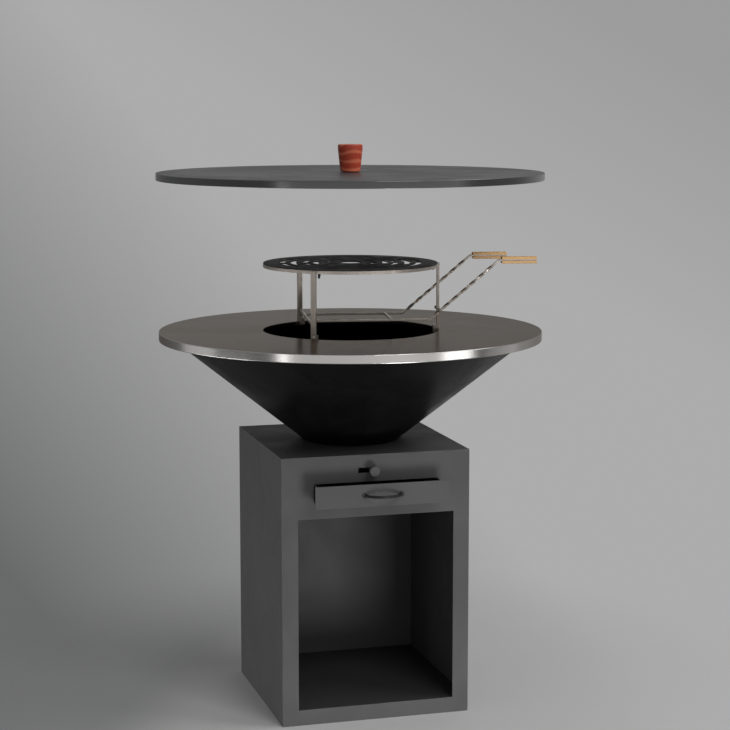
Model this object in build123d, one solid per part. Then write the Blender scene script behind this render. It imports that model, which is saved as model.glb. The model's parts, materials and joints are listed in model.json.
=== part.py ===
from build123d import *
import math
import os

# Charcoal fire-bowl grill: a log-store cabinet with an ash drawer and an air damper, a conical
# fire bowl, a ring griddle, a three-legged grate stand with two twisted handles, and a lid.
# Millimetres, +Z up. The origin is on the floor under the bowl's axis, and the front faces -Y.

# Clearances
SEAT_GAP = 0.3            # between a loose piece and what it rests on
SLIDE_PLAY = 0.5          # around pieces that slide
PIN_PLAY = 0.2            # radial room of a rivet, stud or screw in its hole

# Rivets of the stand and the damper's guides
RIVET_SHANK = 4.0
RIVET_HEAD = 7.0
RIVET_HEAD_HEIGHT = 2.0

# Cabinet
CABINET_WIDTH = 494.0
CABINET_DEPTH = 494.0
CABINET_HEIGHT = 692.0
SHEET = 3.0
STORE_WIDTH = 410.0       # opening of the log store
STORE_SILL = 40.0         # height of the sill, level with the store's floor
STORE_RAIL = 37.0         # front rail between the store's opening and the drawer front

# Ash drawer, shown pulled part of the way out
DRAWER_DROP = 64.5        # from the cabinet's top down to the drawer front's upper edge
DRAWER_FRONT_WIDTH = 350.0
DRAWER_FRONT_HEIGHT = 57.0
DRAWER_FRONT_SHEET = 3.0
DRAWER_PULLED = 57.0      # gap between the drawer front and the front panel
TRAY_WIDTH = 322.0
TRAY_LENGTH = 420.0
TRAY_HEIGHT = 44.0
TRAY_SHEET = 1.5
MOUTH_PLAY = 3.0          # beside the tray in the front panel's cut-out
MOUTH_MARGIN = 1.5        # above and below the tray in the same cut-out
RUNNER_SHEET = 2.0
RUNNER_LIP = 12.0
RUNNER_LENGTH = 440.0

# Bow handle of the drawer
BOW_SPAN = 96.0
BOW_REACH = 32.0
BOW_WIRE = 7.0
BOW_FOOT_DIAMETER = 13.0
BOW_FOOT_HEIGHT = 3.0
STUD_DIAMETER = 5.0
STUD_END = 1.5            # stud standing out of its nut
NUT_WIDTH = 9.0           # over the nut's corners
NUT_HEIGHT = 4.0

# Fire bowl
BOWL_OVERHANG = 29.0      # griddle's edge beyond the bowl's rim
BOWL_RISE = 275.0         # rim above the cabinet's top
BOWL_BASE_RADIUS = 81.0
BOWL_BASE_DROP = 35.0     # base of the cone below the cabinet's top
BOWL_WALL = 3.0
BOWL_FLANGE = 18.0        # rim turned inwards, which carries the griddle
BASE_RADIUS = 112.0
BASE_SHEET = 3.0
BASE_SLOT_FIELD = 70.0    # radius of the slotted field in the bowl's base
EMBER_GRATE_RADIUS = 112.0
EMBER_GRATE_THICK = 5.0
EMBER_FIELD = 98.0
EMBER_SLOT = 9.0
EMBER_BAR = 9.0

# Air damper
SLOT_DROP = 40.0          # from the cabinet's top down to the slot's middle
SLOT_LENGTH = 42.0
SLOT_HEIGHT = 13.5
SLOT_END_X = -6.0         # right end of the slot, beside the centre line
SLOT_END_PLAY = 1.5
DAMPER_ROD = 8.0
DAMPER_ROD_REACH = 15.0   # rod in front of the panel
DAMPER_KNOB_DIAMETER = 27.0
DAMPER_KNOB_DEPTH = 12.0
DAMPER_KNOB_CHAMFER = 2.5
GATE_SHEET = 3.0
GATE_SLOT = 24.0
GATE_DEPTH = 150.0
GATE_MARGIN = 12.0        # plate beyond the outermost slots
TONGUE_WIDTH = 12.0
TONGUE_SETBACK = 20.0     # tongue's end behind the front panel
GUIDE_LENGTH = 150.0
GUIDE_WEB = 12.5
GUIDE_LIP = 6.5
GUIDE_LIP_SHEET = 2.2
GUIDE_RIVET_SPREAD = 110.0

# Ring griddle
GRIDDLE_RADIUS = 500.0
GRIDDLE_HOLE_RADIUS = 228.5
GRIDDLE_PLATE = 12.0
GRIDDLE_EDGE = 22.0       # height of the thick outer edge
GRIDDLE_LIP = 12.0        # width of the thick outer edge
GRIDDLE_CHAMFER = 1.5     # eased upper corners
GRIDDLE_LUGS = 3
GRIDDLE_LUG_DEPTH = 14.0
GRIDDLE_LUG_THICK = 10.0
GRIDDLE_LUG_WIDTH = 32.0
GRIDDLE_LUG_PLAY = 3.0

# Grate stand
STAND_TURN = -9.0         # the handles point this far round from +X, in degrees
STAND_LEGS = 3
LEG_WIDTH = 14.0
LEG_THICK = 6.0
BAND_HEIGHT = 8.0
BAND_THICK = 4.0
HOOK_THICK = 10.0
HOOK_DROP = 12.0          # below the griddle's top, inside its hole
HOOK_RISE = 10.0
HOOK_PLAY = 0.4
HOOK_CHAMFER = 4.0

# Handles of the stand
BAR = 6.0                 # square bar of the rails, the rods and the bars between them
RAIL_RISE = 32.0          # rails' middle above the griddle
RAIL_SPREAD = 150.0
RAIL_TIE_X = 100.0        # middle of the bar between the rails
REAR_BEND_X = 148.0       # where the rear rail turns up into its rod
HANDLE_STAGGER = 50.0     # the front handle stands this much further out
ROD_SLOPE = 40.0
ROD_LENGTH = 237.0
ROD_PLAIN = 16.0          # untwisted stretch at each end
TWIST_PITCH = 116.0       # length of one full turn
YOKE_HEIGHT = 8.0
YOKE_THICK = 4.0
GRIP_LENGTH = 92.0
GRIP_WIDTH = 22.0
GRIP_ROUND = 3.0
SCALE_THICK = 6.5
TANG_THICK = 4.5
TANG_WIDTH = 16.0
TANG_NECK = 6.0
GRIP_RIVET = 4.0
GRIP_RIVET_INSET = 18.0

# Cooking grate
GRATE_RADIUS = 227.2
GRATE_RISE = 176.5        # grate's top above the griddle
GRATE_THICK = 3.0
GRATE_EYE_RADIUS = 30.0
GRATE_RINGS = 5
GRATE_RING_FIRST = 62.0
GRATE_RING_PITCH = 29.0
GRATE_SLOT = 15.0
GRATE_WEB = 14.0          # metal left between the slots of one ring
GRATE_SLOTS_PER_RING = 6
GRATE_LUGS = 3
GRATE_LUG_TURN = 2.6      # lugs stand this many degrees beside the legs
GRATE_LUG_DROP = 20.0
GRATE_LUG_LENGTH = 16.0
GRATE_LUG_TOE = 5.0
GRATE_LUG_THICK = 4.0
GRATE_LUG_PLAY = 1.0

# Lid, shown lifted off
LID_HOVER = 410.0         # lid's top above the griddle
LID_SHEET = 2.0
LID_PLAY = 0.5            # around the griddle's edge
LID_EDGE = 18.0
LID_CHAMFER = 1.2
KNOB_TOP_DIAMETER = 64.0
KNOB_BASE_DIAMETER = 52.0
KNOB_HEIGHT = 70.5
KNOB_COLLAR = 12.0        # straight upper stretch of the knob
KNOB_CHAMFER = 2.5
WASHER_DIAMETER = 34.0
WASHER_THICK = 1.5
KNOB_SCREW = 8.0
KNOB_SCREW_DEPTH = 35.0
KNOB_SCREW_HEAD = 16.0
KNOB_SCREW_HEAD_HEIGHT = 5.0

# Levels and lines worked out from the sizes above
HALF_WIDTH = CABINET_WIDTH / 2
HALF_DEPTH = CABINET_DEPTH / 2
INNER_X = HALF_WIDTH - SHEET
INNER_Y = HALF_DEPTH - SHEET
PLATE_BOTTOM = CABINET_HEIGHT - SHEET

DRAWER_TOP = CABINET_HEIGHT - DRAWER_DROP
DRAWER_BOTTOM = DRAWER_TOP - DRAWER_FRONT_HEIGHT
DRAWER_MIDDLE = (DRAWER_TOP + DRAWER_BOTTOM) / 2
TRAY_BOTTOM = DRAWER_MIDDLE - TRAY_HEIGHT / 2
TRAY_TOP = DRAWER_MIDDLE + TRAY_HEIGHT / 2
TRAY_FRONT_Y = -HALF_DEPTH - DRAWER_PULLED
DRAWER_FACE_Y = TRAY_FRONT_Y - DRAWER_FRONT_SHEET
RUNNER_BOTTOM = TRAY_BOTTOM - SLIDE_PLAY - RUNNER_SHEET
STORE_HEAD = DRAWER_BOTTOM - STORE_RAIL
STUD_X = BOW_SPAN / 2
STUD_HOLE = STUD_DIAMETER / 2 + PIN_PLAY

BOWL_RIM_RADIUS = GRIDDLE_RADIUS - BOWL_OVERHANG
RIM_LEVEL = CABINET_HEIGHT + BOWL_RISE
CONE_LEVEL = CABINET_HEIGHT - BOWL_BASE_DROP
BOWL_PITCH = (RIM_LEVEL - CONE_LEVEL) / (BOWL_RIM_RADIUS - BOWL_BASE_RADIUS)
WALL_RUN = BOWL_WALL / math.sin(math.atan(BOWL_PITCH))

SLOT_LEVEL = CABINET_HEIGHT - SLOT_DROP
ROD_X = SLOT_END_X - SLOT_END_PLAY - DAMPER_ROD / 2
DAMPER_TRAVEL = SLOT_LENGTH - DAMPER_ROD - 2 * SLOT_END_PLAY
GATE_PITCH = GATE_SLOT + DAMPER_TRAVEL
GATE_TOP = SLOT_LEVEL + GATE_SHEET / 2
GATE_BOTTOM = SLOT_LEVEL - GATE_SHEET / 2
BASE_BOTTOM = CONE_LEVEL - BASE_SHEET
GUIDE_LIP_TOP = GATE_BOTTOM - SLIDE_PLAY
GUIDE_BOTTOM = GUIDE_LIP_TOP - GUIDE_LIP_SHEET
GUIDE_INNER_Y = GATE_DEPTH / 2 + SLIDE_PLAY
GUIDE_RIVET_Y = GUIDE_INNER_Y + GUIDE_WEB / 2

GRIDDLE_BOTTOM = RIM_LEVEL + SEAT_GAP
GRIDDLE_TOP = GRIDDLE_BOTTOM + GRIDDLE_PLATE

STAND_FOOT = GRIDDLE_TOP + SEAT_GAP
GRATE_TOP = GRIDDLE_TOP + GRATE_RISE
GRATE_BOTTOM = GRATE_TOP - GRATE_THICK
BAND_TOP = GRATE_BOTTOM - SEAT_GAP
BAND_BOTTOM = BAND_TOP - BAND_HEIGHT
BAND_MIDDLE = (BAND_TOP + BAND_BOTTOM) / 2
LEG_FACE = math.sqrt((GRIDDLE_HOLE_RADIUS - HOOK_PLAY) ** 2 - (LEG_WIDTH / 2) ** 2)
LEG_ANGLES = [leg * 360 / STAND_LEGS for leg in range(STAND_LEGS)]
HOOK_RIVET_LEVEL = STAND_FOOT + HOOK_RISE / 2
RIVET_HOLE = RIVET_SHANK / 2 + PIN_PLAY

RAIL_LEVEL = GRIDDLE_TOP + RAIL_RISE
RAIL_Y = RAIL_SPREAD / 2
CROSS_BAR_X = LEG_FACE * math.cos(math.radians(LEG_ANGLES[1]))
ROD_RUN = ROD_LENGTH * math.cos(math.radians(ROD_SLOPE))
ROD_CLIMB = ROD_LENGTH * math.sin(math.radians(ROD_SLOPE))
GRIP_LEVEL = RAIL_LEVEL + ROD_CLIMB
FRONT_BEND_X = REAR_BEND_X + HANDLE_STAGGER
YOKE_X = LEG_FACE - YOKE_THICK / 2
YOKE_LEVEL = RAIL_LEVEL + (YOKE_X - FRONT_BEND_X) * math.tan(math.radians(ROD_SLOPE))

LID_RADIUS = GRIDDLE_RADIUS + LID_PLAY + LID_SHEET
LID_TOP = GRIDDLE_TOP + LID_HOVER
WASHER_TOP = LID_TOP + WASHER_THICK
KNOB_SCREW_HOLE = KNOB_SCREW / 2 + PIN_PLAY

X_AXIS = (1, 0, 0)
STAND = Rot(0, 0, STAND_TURN)


def block(x_low, x_high, y_low, y_high, z_low, z_high):
    """A box between two corners."""
    middle = Pos((x_low + x_high) / 2, (y_low + y_high) / 2, (z_low + z_high) / 2)
    return middle * Box(x_high - x_low, y_high - y_low, z_high - z_low)


def disc(radius, z_low, z_high, x=0.0, y=0.0):
    """An upright cylinder between two levels."""
    return Pos(x, y, (z_low + z_high) / 2) * Cylinder(radius, z_high - z_low)


def rod_along_y(radius, x, y_low, y_high, z):
    """A round bar that runs front to back."""
    return Pos(x, (y_low + y_high) / 2, z) * Rot(90, 0, 0) * Cylinder(radius, y_high - y_low)


def turned(points):
    """A solid turned about the Z axis from a closed (radius, level) outline."""
    outline = Polyline([(radius, 0, level) for radius, level in points], close=True)
    return revolve(make_face(outline), Axis.Z)


def ease_corners(solid, level, size):
    """Chamfer the edges of a turned solid that lie at one level."""
    edges = solid.edges().filter_by(GeomType.CIRCLE)
    return chamfer([edge for edge in edges if abs(edge.center().Z - level) < 1e-3], size)


def bowl_inner_radius(level):
    """Inner radius of the cone's wall at a level."""
    return BOWL_BASE_RADIUS + (level - CONE_LEVEL) / BOWL_PITCH - WALL_RUN


# Cabinet

def front_panel():
    panel = block(-HALF_WIDTH, HALF_WIDTH, -HALF_DEPTH, -INNER_Y, 0, PLATE_BOTTOM)
    store = block(-STORE_WIDTH / 2, STORE_WIDTH / 2, -HALF_DEPTH, -INNER_Y, STORE_SILL, STORE_HEAD)
    mouth_x = TRAY_WIDTH / 2 + MOUTH_PLAY
    mouth_low = TRAY_BOTTOM - MOUTH_MARGIN
    mouth_high = TRAY_TOP + MOUTH_MARGIN
    mouth = block(-mouth_x, mouth_x, -HALF_DEPTH, -INNER_Y, mouth_low, mouth_high)
    slot_low = SLOT_LEVEL - SLOT_HEIGHT / 2
    slot_high = SLOT_LEVEL + SLOT_HEIGHT / 2
    slot = block(SLOT_END_X - SLOT_LENGTH, SLOT_END_X, -HALF_DEPTH, -INNER_Y, slot_low, slot_high)
    return panel - store - mouth - slot


def side_panel(side):
    x_low, x_high = sorted((side * INNER_X, side * HALF_WIDTH))
    return block(x_low, x_high, -INNER_Y, HALF_DEPTH, 0, PLATE_BOTTOM)


def back_panel():
    return block(-INNER_X, INNER_X, INNER_Y, HALF_DEPTH, 0, PLATE_BOTTOM)


def top_plate():
    plate = block(-HALF_WIDTH, HALF_WIDTH, -HALF_DEPTH, HALF_DEPTH, PLATE_BOTTOM, CABINET_HEIGHT)
    seat_radius = bowl_inner_radius(CABINET_HEIGHT) + WALL_RUN + SEAT_GAP
    return plate - disc(seat_radius, PLATE_BOTTOM, CABINET_HEIGHT)


def store_floor():
    return block(-INNER_X, INNER_X, -INNER_Y, INNER_Y, STORE_SILL - SHEET, STORE_SILL)


def drawer_shelf():
    return block(-INNER_X, INNER_X, -INNER_Y, INNER_Y, RUNNER_BOTTOM - SHEET, RUNNER_BOTTOM)


def runner(side):
    """A channel along the tray's side, with lips under its floor and over its wall."""
    web_in = TRAY_WIDTH / 2 + SLIDE_PLAY
    web_out = web_in + RUNNER_SHEET
    lip_in = web_in - RUNNER_LIP
    lip_low = TRAY_BOTTOM - SLIDE_PLAY
    lip_high = TRAY_TOP + SLIDE_PLAY
    top = lip_high + RUNNER_SHEET
    outline = [
        (lip_in, RUNNER_BOTTOM),
        (web_out, RUNNER_BOTTOM),
        (web_out, top),
        (lip_in, top),
        (lip_in, lip_high),
        (web_in, lip_high),
        (web_in, lip_low),
        (lip_in, lip_low),
    ]
    section = make_face(Polyline([(side * x, -INNER_Y, z) for x, z in outline], close=True))
    return extrude(section, RUNNER_LENGTH, dir=(0, 1, 0))


# Fire bowl and what hangs under it

def fire_bowl():
    under_flange = RIM_LEVEL - BOWL_WALL
    return turned([
        (BOWL_BASE_RADIUS, CONE_LEVEL),
        (BOWL_RIM_RADIUS, RIM_LEVEL),
        (BOWL_RIM_RADIUS - BOWL_FLANGE, RIM_LEVEL),
        (BOWL_RIM_RADIUS - BOWL_FLANGE, under_flange),
        (bowl_inner_radius(under_flange), under_flange),
        (bowl_inner_radius(CONE_LEVEL), CONE_LEVEL),
    ])


def damper_slots(z_low, z_high):
    """The row of slots that the bowl's base and the gate share."""
    field = disc(BASE_SLOT_FIELD, z_low, z_high)
    slot = block(-GATE_SLOT / 2, GATE_SLOT / 2, -BASE_SLOT_FIELD, BASE_SLOT_FIELD, z_low, z_high)
    return [Pos(x, 0, 0) * slot & field for x in (-GATE_PITCH, 0.0, GATE_PITCH)]


def guide_rivet_places():
    half = GUIDE_RIVET_SPREAD / 2
    return [(x, y) for x in (-half, half) for y in (-GUIDE_RIVET_Y, GUIDE_RIVET_Y)]


def bowl_base():
    plate = disc(BASE_RADIUS, BASE_BOTTOM, CONE_LEVEL)
    holes = [disc(RIVET_HOLE, BASE_BOTTOM, CONE_LEVEL, x, y) for x, y in guide_rivet_places()]
    return plate - damper_slots(BASE_BOTTOM, CONE_LEVEL) - holes


def damper_guide(side):
    """A rail along X that holds one edge of the gate; the front one has a window for its tongue."""
    web_out = GUIDE_INNER_Y + GUIDE_WEB
    half = GUIDE_LENGTH / 2
    web_low, web_high = sorted((side * GUIDE_INNER_Y, side * web_out))
    lip_low, lip_high = sorted((side * (GUIDE_INNER_Y - GUIDE_LIP), side * web_out))
    rail = block(-half, half, web_low, web_high, GUIDE_BOTTOM, BASE_BOTTOM)
    rail += block(-half, half, lip_low, lip_high, GUIDE_BOTTOM, GUIDE_LIP_TOP)
    for x, y in guide_rivet_places():
        rail -= disc(RIVET_HOLE, GUIDE_BOTTOM, BASE_BOTTOM, x, y)
    if side < 0:
        reach = TONGUE_WIDTH / 2 + SLOT_END_PLAY
        left = ROD_X - DAMPER_TRAVEL - reach
        rail -= block(left, ROD_X + reach, web_low, web_high, GUIDE_LIP_TOP, BASE_BOTTOM)
    return rail


def guide_rivets():
    rivets = []
    for x, y in guide_rivet_places():
        pin = disc(RIVET_SHANK / 2, GUIDE_BOTTOM, CONE_LEVEL, x, y)
        pin += disc(RIVET_HEAD / 2, GUIDE_BOTTOM - RIVET_HEAD_HEIGHT, GUIDE_BOTTOM, x, y)
        pin += disc(RIVET_HEAD / 2, CONE_LEVEL, CONE_LEVEL + RIVET_HEAD_HEIGHT, x, y)
        rivets.append(pin)
    return rivets


def ember_grate():
    """A round slotted plate that lies on the cone's wall."""
    rest_radius = EMBER_GRATE_RADIUS + SEAT_GAP
    bottom = CONE_LEVEL + (rest_radius - bowl_inner_radius(CONE_LEVEL)) * BOWL_PITCH
    top = bottom + EMBER_GRATE_THICK
    field = disc(EMBER_FIELD, bottom, top)
    pitch = EMBER_SLOT + EMBER_BAR
    count = int(EMBER_FIELD / pitch)
    slot = block(-EMBER_SLOT / 2, EMBER_SLOT / 2, -EMBER_FIELD, EMBER_FIELD, bottom, top)
    slots = [Pos(n * pitch, 0, 0) * slot & field for n in range(-count, count + 1)]
    return disc(EMBER_GRATE_RADIUS, bottom, top) - slots


# Ash drawer

def drawer_tray():
    back_y = TRAY_FRONT_Y + TRAY_LENGTH
    half = TRAY_WIDTH / 2
    inner = half - TRAY_SHEET
    front_in = TRAY_FRONT_Y + TRAY_SHEET
    tray = block(-half, half, TRAY_FRONT_Y, back_y, TRAY_BOTTOM, TRAY_TOP)
    tray -= block(-inner, inner, front_in, back_y - TRAY_SHEET, TRAY_BOTTOM + TRAY_SHEET, TRAY_TOP)
    for x in (-STUD_X, STUD_X):
        tray -= rod_along_y(STUD_HOLE, x, TRAY_FRONT_Y, front_in, DRAWER_MIDDLE)
    return tray


def drawer_front():
    half = DRAWER_FRONT_WIDTH / 2
    plate = block(-half, half, DRAWER_FACE_Y, TRAY_FRONT_Y, DRAWER_BOTTOM, DRAWER_TOP)
    for x in (-STUD_X, STUD_X):
        plate -= rod_along_y(STUD_HOLE, x, DRAWER_FACE_Y, TRAY_FRONT_Y, DRAWER_MIDDLE)
    return plate


def drawer_handle():
    """A bowed wire pull on two round feet, with a stud through the drawer front at each end."""
    start_y = DRAWER_FACE_Y - BOW_FOOT_HEIGHT / 2
    path = ThreePointArc(
        (-STUD_X, start_y, DRAWER_MIDDLE),
        (0, DRAWER_FACE_Y - BOW_REACH + BOW_WIRE / 2, DRAWER_MIDDLE),
        (STUD_X, start_y, DRAWER_MIDDLE),
    )
    handle = sweep(Plane(origin=path @ 0, z_dir=path % 0) * Circle(BOW_WIRE / 2), path)
    stud_back = TRAY_FRONT_Y + TRAY_SHEET + NUT_HEIGHT + STUD_END
    for x in (-STUD_X, STUD_X):
        foot_front = DRAWER_FACE_Y - BOW_FOOT_HEIGHT
        handle += rod_along_y(BOW_FOOT_DIAMETER / 2, x, foot_front, DRAWER_FACE_Y, DRAWER_MIDDLE)
        handle += rod_along_y(STUD_DIAMETER / 2, x, DRAWER_FACE_Y, stud_back, DRAWER_MIDDLE)
    beyond = block(-BOW_SPAN, BOW_SPAN, DRAWER_FACE_Y, stud_back, DRAWER_BOTTOM, DRAWER_TOP)
    for x in (-STUD_X, STUD_X):
        beyond -= rod_along_y(STUD_DIAMETER / 2, x, DRAWER_FACE_Y, stud_back, DRAWER_MIDDLE)
    return handle - beyond


def handle_nuts():
    nuts = []
    for x in (-STUD_X, STUD_X):
        seat = Plane(origin=(x, TRAY_FRONT_Y + TRAY_SHEET, DRAWER_MIDDLE), z_dir=(0, 1, 0))
        section = RegularPolygon(NUT_WIDTH / 2, 6) - Circle(STUD_HOLE)
        nuts.append(extrude(seat * section, NUT_HEIGHT))
    return nuts


# Air damper

def tongue_end_y():
    return -INNER_Y + TONGUE_SETBACK


def damper_gate():
    """A slotted plate under the bowl's base, with a tongue towards the front."""
    edge = GATE_PITCH + GATE_SLOT / 2 + GATE_MARGIN
    half_depth = GATE_DEPTH / 2
    gate = block(-edge, edge + DAMPER_TRAVEL, -half_depth, half_depth, GATE_BOTTOM, GATE_TOP)
    tongue_left = ROD_X - TONGUE_WIDTH / 2
    tongue_right = ROD_X + TONGUE_WIDTH / 2
    gate += block(tongue_left, tongue_right, tongue_end_y(), -half_depth, GATE_BOTTOM, GATE_TOP)
    return gate - damper_slots(GATE_BOTTOM, GATE_TOP)


def damper_rod():
    return rod_along_y(DAMPER_ROD / 2, ROD_X, -HALF_DEPTH - DAMPER_ROD_REACH, tongue_end_y(), SLOT_LEVEL)


def damper_knob():
    back_y = -HALF_DEPTH - DAMPER_ROD_REACH
    front_y = back_y - DAMPER_KNOB_DEPTH
    knob = rod_along_y(DAMPER_KNOB_DIAMETER / 2, ROD_X, front_y, back_y, SLOT_LEVEL)
    return chamfer(knob.edges().filter_by(GeomType.CIRCLE), DAMPER_KNOB_CHAMFER)


# Ring griddle

def griddle_plate():
    edge_bottom = GRIDDLE_TOP - GRIDDLE_EDGE
    lip_in = GRIDDLE_RADIUS - GRIDDLE_LIP
    plate = turned([
        (GRIDDLE_HOLE_RADIUS, GRIDDLE_BOTTOM),
        (lip_in, GRIDDLE_BOTTOM),
        (lip_in, edge_bottom),
        (GRIDDLE_RADIUS, edge_bottom),
        (GRIDDLE_RADIUS, GRIDDLE_TOP),
        (GRIDDLE_HOLE_RADIUS, GRIDDLE_TOP),
    ])
    return ease_corners(plate, GRIDDLE_TOP, GRIDDLE_CHAMFER)


def griddle_lugs():
    """Blocks under the griddle that centre it inside the bowl's rim."""
    lug_bottom = GRIDDLE_BOTTOM - GRIDDLE_LUG_DEPTH
    half = GRIDDLE_LUG_WIDTH / 2
    room = min(BOWL_RIM_RADIUS - BOWL_FLANGE, bowl_inner_radius(lug_bottom)) - GRIDDLE_LUG_PLAY
    outer = math.sqrt(room ** 2 - half ** 2)
    lug = block(outer - GRIDDLE_LUG_THICK, outer, -half, half, lug_bottom, GRIDDLE_BOTTOM)
    return [Rot(0, 0, 90 + n * 360 / GRIDDLE_LUGS) * lug for n in range(GRIDDLE_LUGS)]


# Grate stand, in a frame whose +X is the handles' direction

def stand_band():
    band = disc(LEG_FACE, BAND_BOTTOM, BAND_TOP) - disc(LEG_FACE - BAND_THICK, BAND_BOTTOM, BAND_TOP)
    for angle in LEG_ANGLES:
        band -= radial_pin(angle, BAND_MIDDLE, RIVET_HOLE, LEG_FACE - 2 * BAND_THICK, LEG_FACE)
    return band


def radial_pin(angle, level, radius, r_low, r_high):
    """A round bar that points away from the axis."""
    bar = Pos((r_low + r_high) / 2, 0, level) * Rot(0, 90, 0) * Cylinder(radius, r_high - r_low)
    return Rot(0, 0, angle) * bar


def leg(angle):
    """A flat bar from the griddle up to the band, with its rivet holes."""
    outer = LEG_FACE + LEG_THICK
    bar = Rot(0, 0, angle) * block(LEG_FACE, outer, -LEG_WIDTH / 2, LEG_WIDTH / 2, STAND_FOOT, BAND_TOP)
    levels = [BAND_MIDDLE, HOOK_RIVET_LEVEL]
    if angle == LEG_ANGLES[0]:
        levels.append(YOKE_LEVEL)
    for level in levels:
        bar -= radial_pin(angle, level, RIVET_HOLE, LEG_FACE, outer)
    return bar


def foot_hooks():
    """A block on each leg's inner face that drops into the griddle's hole."""
    inner = LEG_FACE - HOOK_THICK
    low = GRIDDLE_TOP - HOOK_DROP
    hook = block(inner, LEG_FACE, -LEG_WIDTH / 2, LEG_WIDTH / 2, low, STAND_FOOT + HOOK_RISE)
    toe = hook.edges().filter_by(Axis.Y).group_by(Axis.Z)[0].sort_by(Axis.X)[0]
    hook = chamfer(toe, HOOK_CHAMFER) - radial_pin(0, HOOK_RIVET_LEVEL, RIVET_HOLE, inner, LEG_FACE)
    return [Rot(0, 0, angle) * hook for angle in LEG_ANGLES]


def rivet(angle, level, r_low, r_high):
    """A rivet through two flat faces, with a head on each."""
    pin = radial_pin(angle, level, RIVET_SHANK / 2, r_low, r_high)
    pin += radial_pin(angle, level, RIVET_HEAD / 2, r_low - RIVET_HEAD_HEIGHT, r_low)
    return pin + radial_pin(angle, level, RIVET_HEAD / 2, r_high, r_high + RIVET_HEAD_HEIGHT)


def leg_rivets():
    outer = LEG_FACE + LEG_THICK
    band_seat = math.sqrt((LEG_FACE - BAND_THICK) ** 2 - (RIVET_HEAD / 2) ** 2)
    rivets = [rivet(angle, BAND_MIDDLE, band_seat, outer) for angle in LEG_ANGLES]
    rivets += [rivet(angle, HOOK_RIVET_LEVEL, LEG_FACE - HOOK_THICK, outer) for angle in LEG_ANGLES]
    rivets.append(rivet(LEG_ANGLES[0], YOKE_LEVEL, LEG_FACE - YOKE_THICK, outer))
    return rivets


def cross_bar():
    """The bar between the two left legs, cut to lie against their inner faces."""
    half = BAR / 2
    reach = LEG_FACE + LEG_THICK
    bar = block(CROSS_BAR_X - half, CROSS_BAR_X + half, -reach, reach, RAIL_LEVEL - half, RAIL_LEVEL + half)
    for angle in LEG_ANGLES[1:]:
        outward = Vector(1, 0, 0).rotate(Axis.Z, angle)
        bar = split(bar, Plane(origin=outward * LEG_FACE, z_dir=outward), keep=Keep.BOTTOM)
    return bar


def rail_tie():
    """The bar that joins the two rails between their inner faces."""
    length = RAIL_SPREAD - BAR
    return Pos(RAIL_TIE_X, 0, RAIL_LEVEL) * Box(BAR, length, BAR)


def handle_yoke():
    """The flat bar that ties the front rod to the right leg."""
    end_y = RAIL_Y - BAR / math.sqrt(2) - SEAT_GAP
    low, high = YOKE_LEVEL - YOKE_HEIGHT / 2, YOKE_LEVEL + YOKE_HEIGHT / 2
    bar = block(LEG_FACE - YOKE_THICK, LEG_FACE, -end_y, LEG_WIDTH / 2, low, high)
    return bar - radial_pin(LEG_ANGLES[0], YOKE_LEVEL, RIVET_HOLE, LEG_FACE - YOKE_THICK, LEG_FACE)


def mitre(bend_x, y):
    """The plane that a rail and its rod share at their bend."""
    half_slope = math.radians(ROD_SLOPE / 2)
    normal = (math.cos(half_slope), 0, math.sin(half_slope))
    return Plane(origin=(bend_x, y, RAIL_LEVEL), z_dir=normal)


def rail(bend_x, y):
    half = BAR / 2
    start_x = CROSS_BAR_X + half
    bar = block(start_x, bend_x + BAR, y - half, y + half, RAIL_LEVEL - half, RAIL_LEVEL + half)
    return split(bar, mitre(bend_x, y), keep=Keep.BOTTOM)


def twisted_rod(bend_x, y):
    """A square bar twisted between two plain ends, from the rail's bend up to the grip."""
    slope = math.radians(ROD_SLOPE)
    twisted_length = ROD_LENGTH - 2 * ROD_PLAIN
    quarter_turns = round(4 * twisted_length / TWIST_PITCH)
    section = Rectangle(BAR, BAR).face()
    middle = Solid.extrude_linear_with_rotation(
        section, center=(0, 0, 0), normal=(0, 0, twisted_length), angle=90 * quarter_turns
    )
    half = BAR / 2
    overlap = ROD_PLAIN + BAR
    lower = block(-half, half, -half, half, -overlap, 0)
    upper = block(-half, half, -half, half, twisted_length, twisted_length + overlap)
    bar = Pos(0, 0, ROD_PLAIN) * (lower + middle + upper)
    bend = Plane(
        origin=(bend_x, y, RAIL_LEVEL),
        x_dir=(0, 1, 0),
        z_dir=(math.cos(slope), 0, math.sin(slope)),
    )
    bar = split(bend * bar, mitre(bend_x, y), keep=Keep.TOP)
    grip_end = Plane(origin=(bend_x + ROD_RUN, y, GRIP_LEVEL), z_dir=X_AXIS)
    return split(bar, grip_end, keep=Keep.BOTTOM)


def grip_rivet_holes(x_start, y, radius):
    low = GRIP_LEVEL - TANG_THICK / 2 - SCALE_THICK
    high = GRIP_LEVEL + TANG_THICK / 2 + SCALE_THICK
    places = (x_start + GRIP_RIVET_INSET, x_start + GRIP_LENGTH - GRIP_RIVET_INSET)
    return [disc(radius, low, high, x, y) for x in places]


def tang(bend_x, y):
    start_x = bend_x + ROD_RUN
    grip_x = start_x + TANG_NECK
    half_width = TANG_WIDTH / 2
    half = TANG_THICK / 2
    bar = block(start_x, grip_x + GRIP_LENGTH, y - half_width, y + half_width,
                GRIP_LEVEL - half, GRIP_LEVEL + half)
    return bar - grip_rivet_holes(grip_x, y, GRIP_RIVET / 2 + PIN_PLAY)


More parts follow.
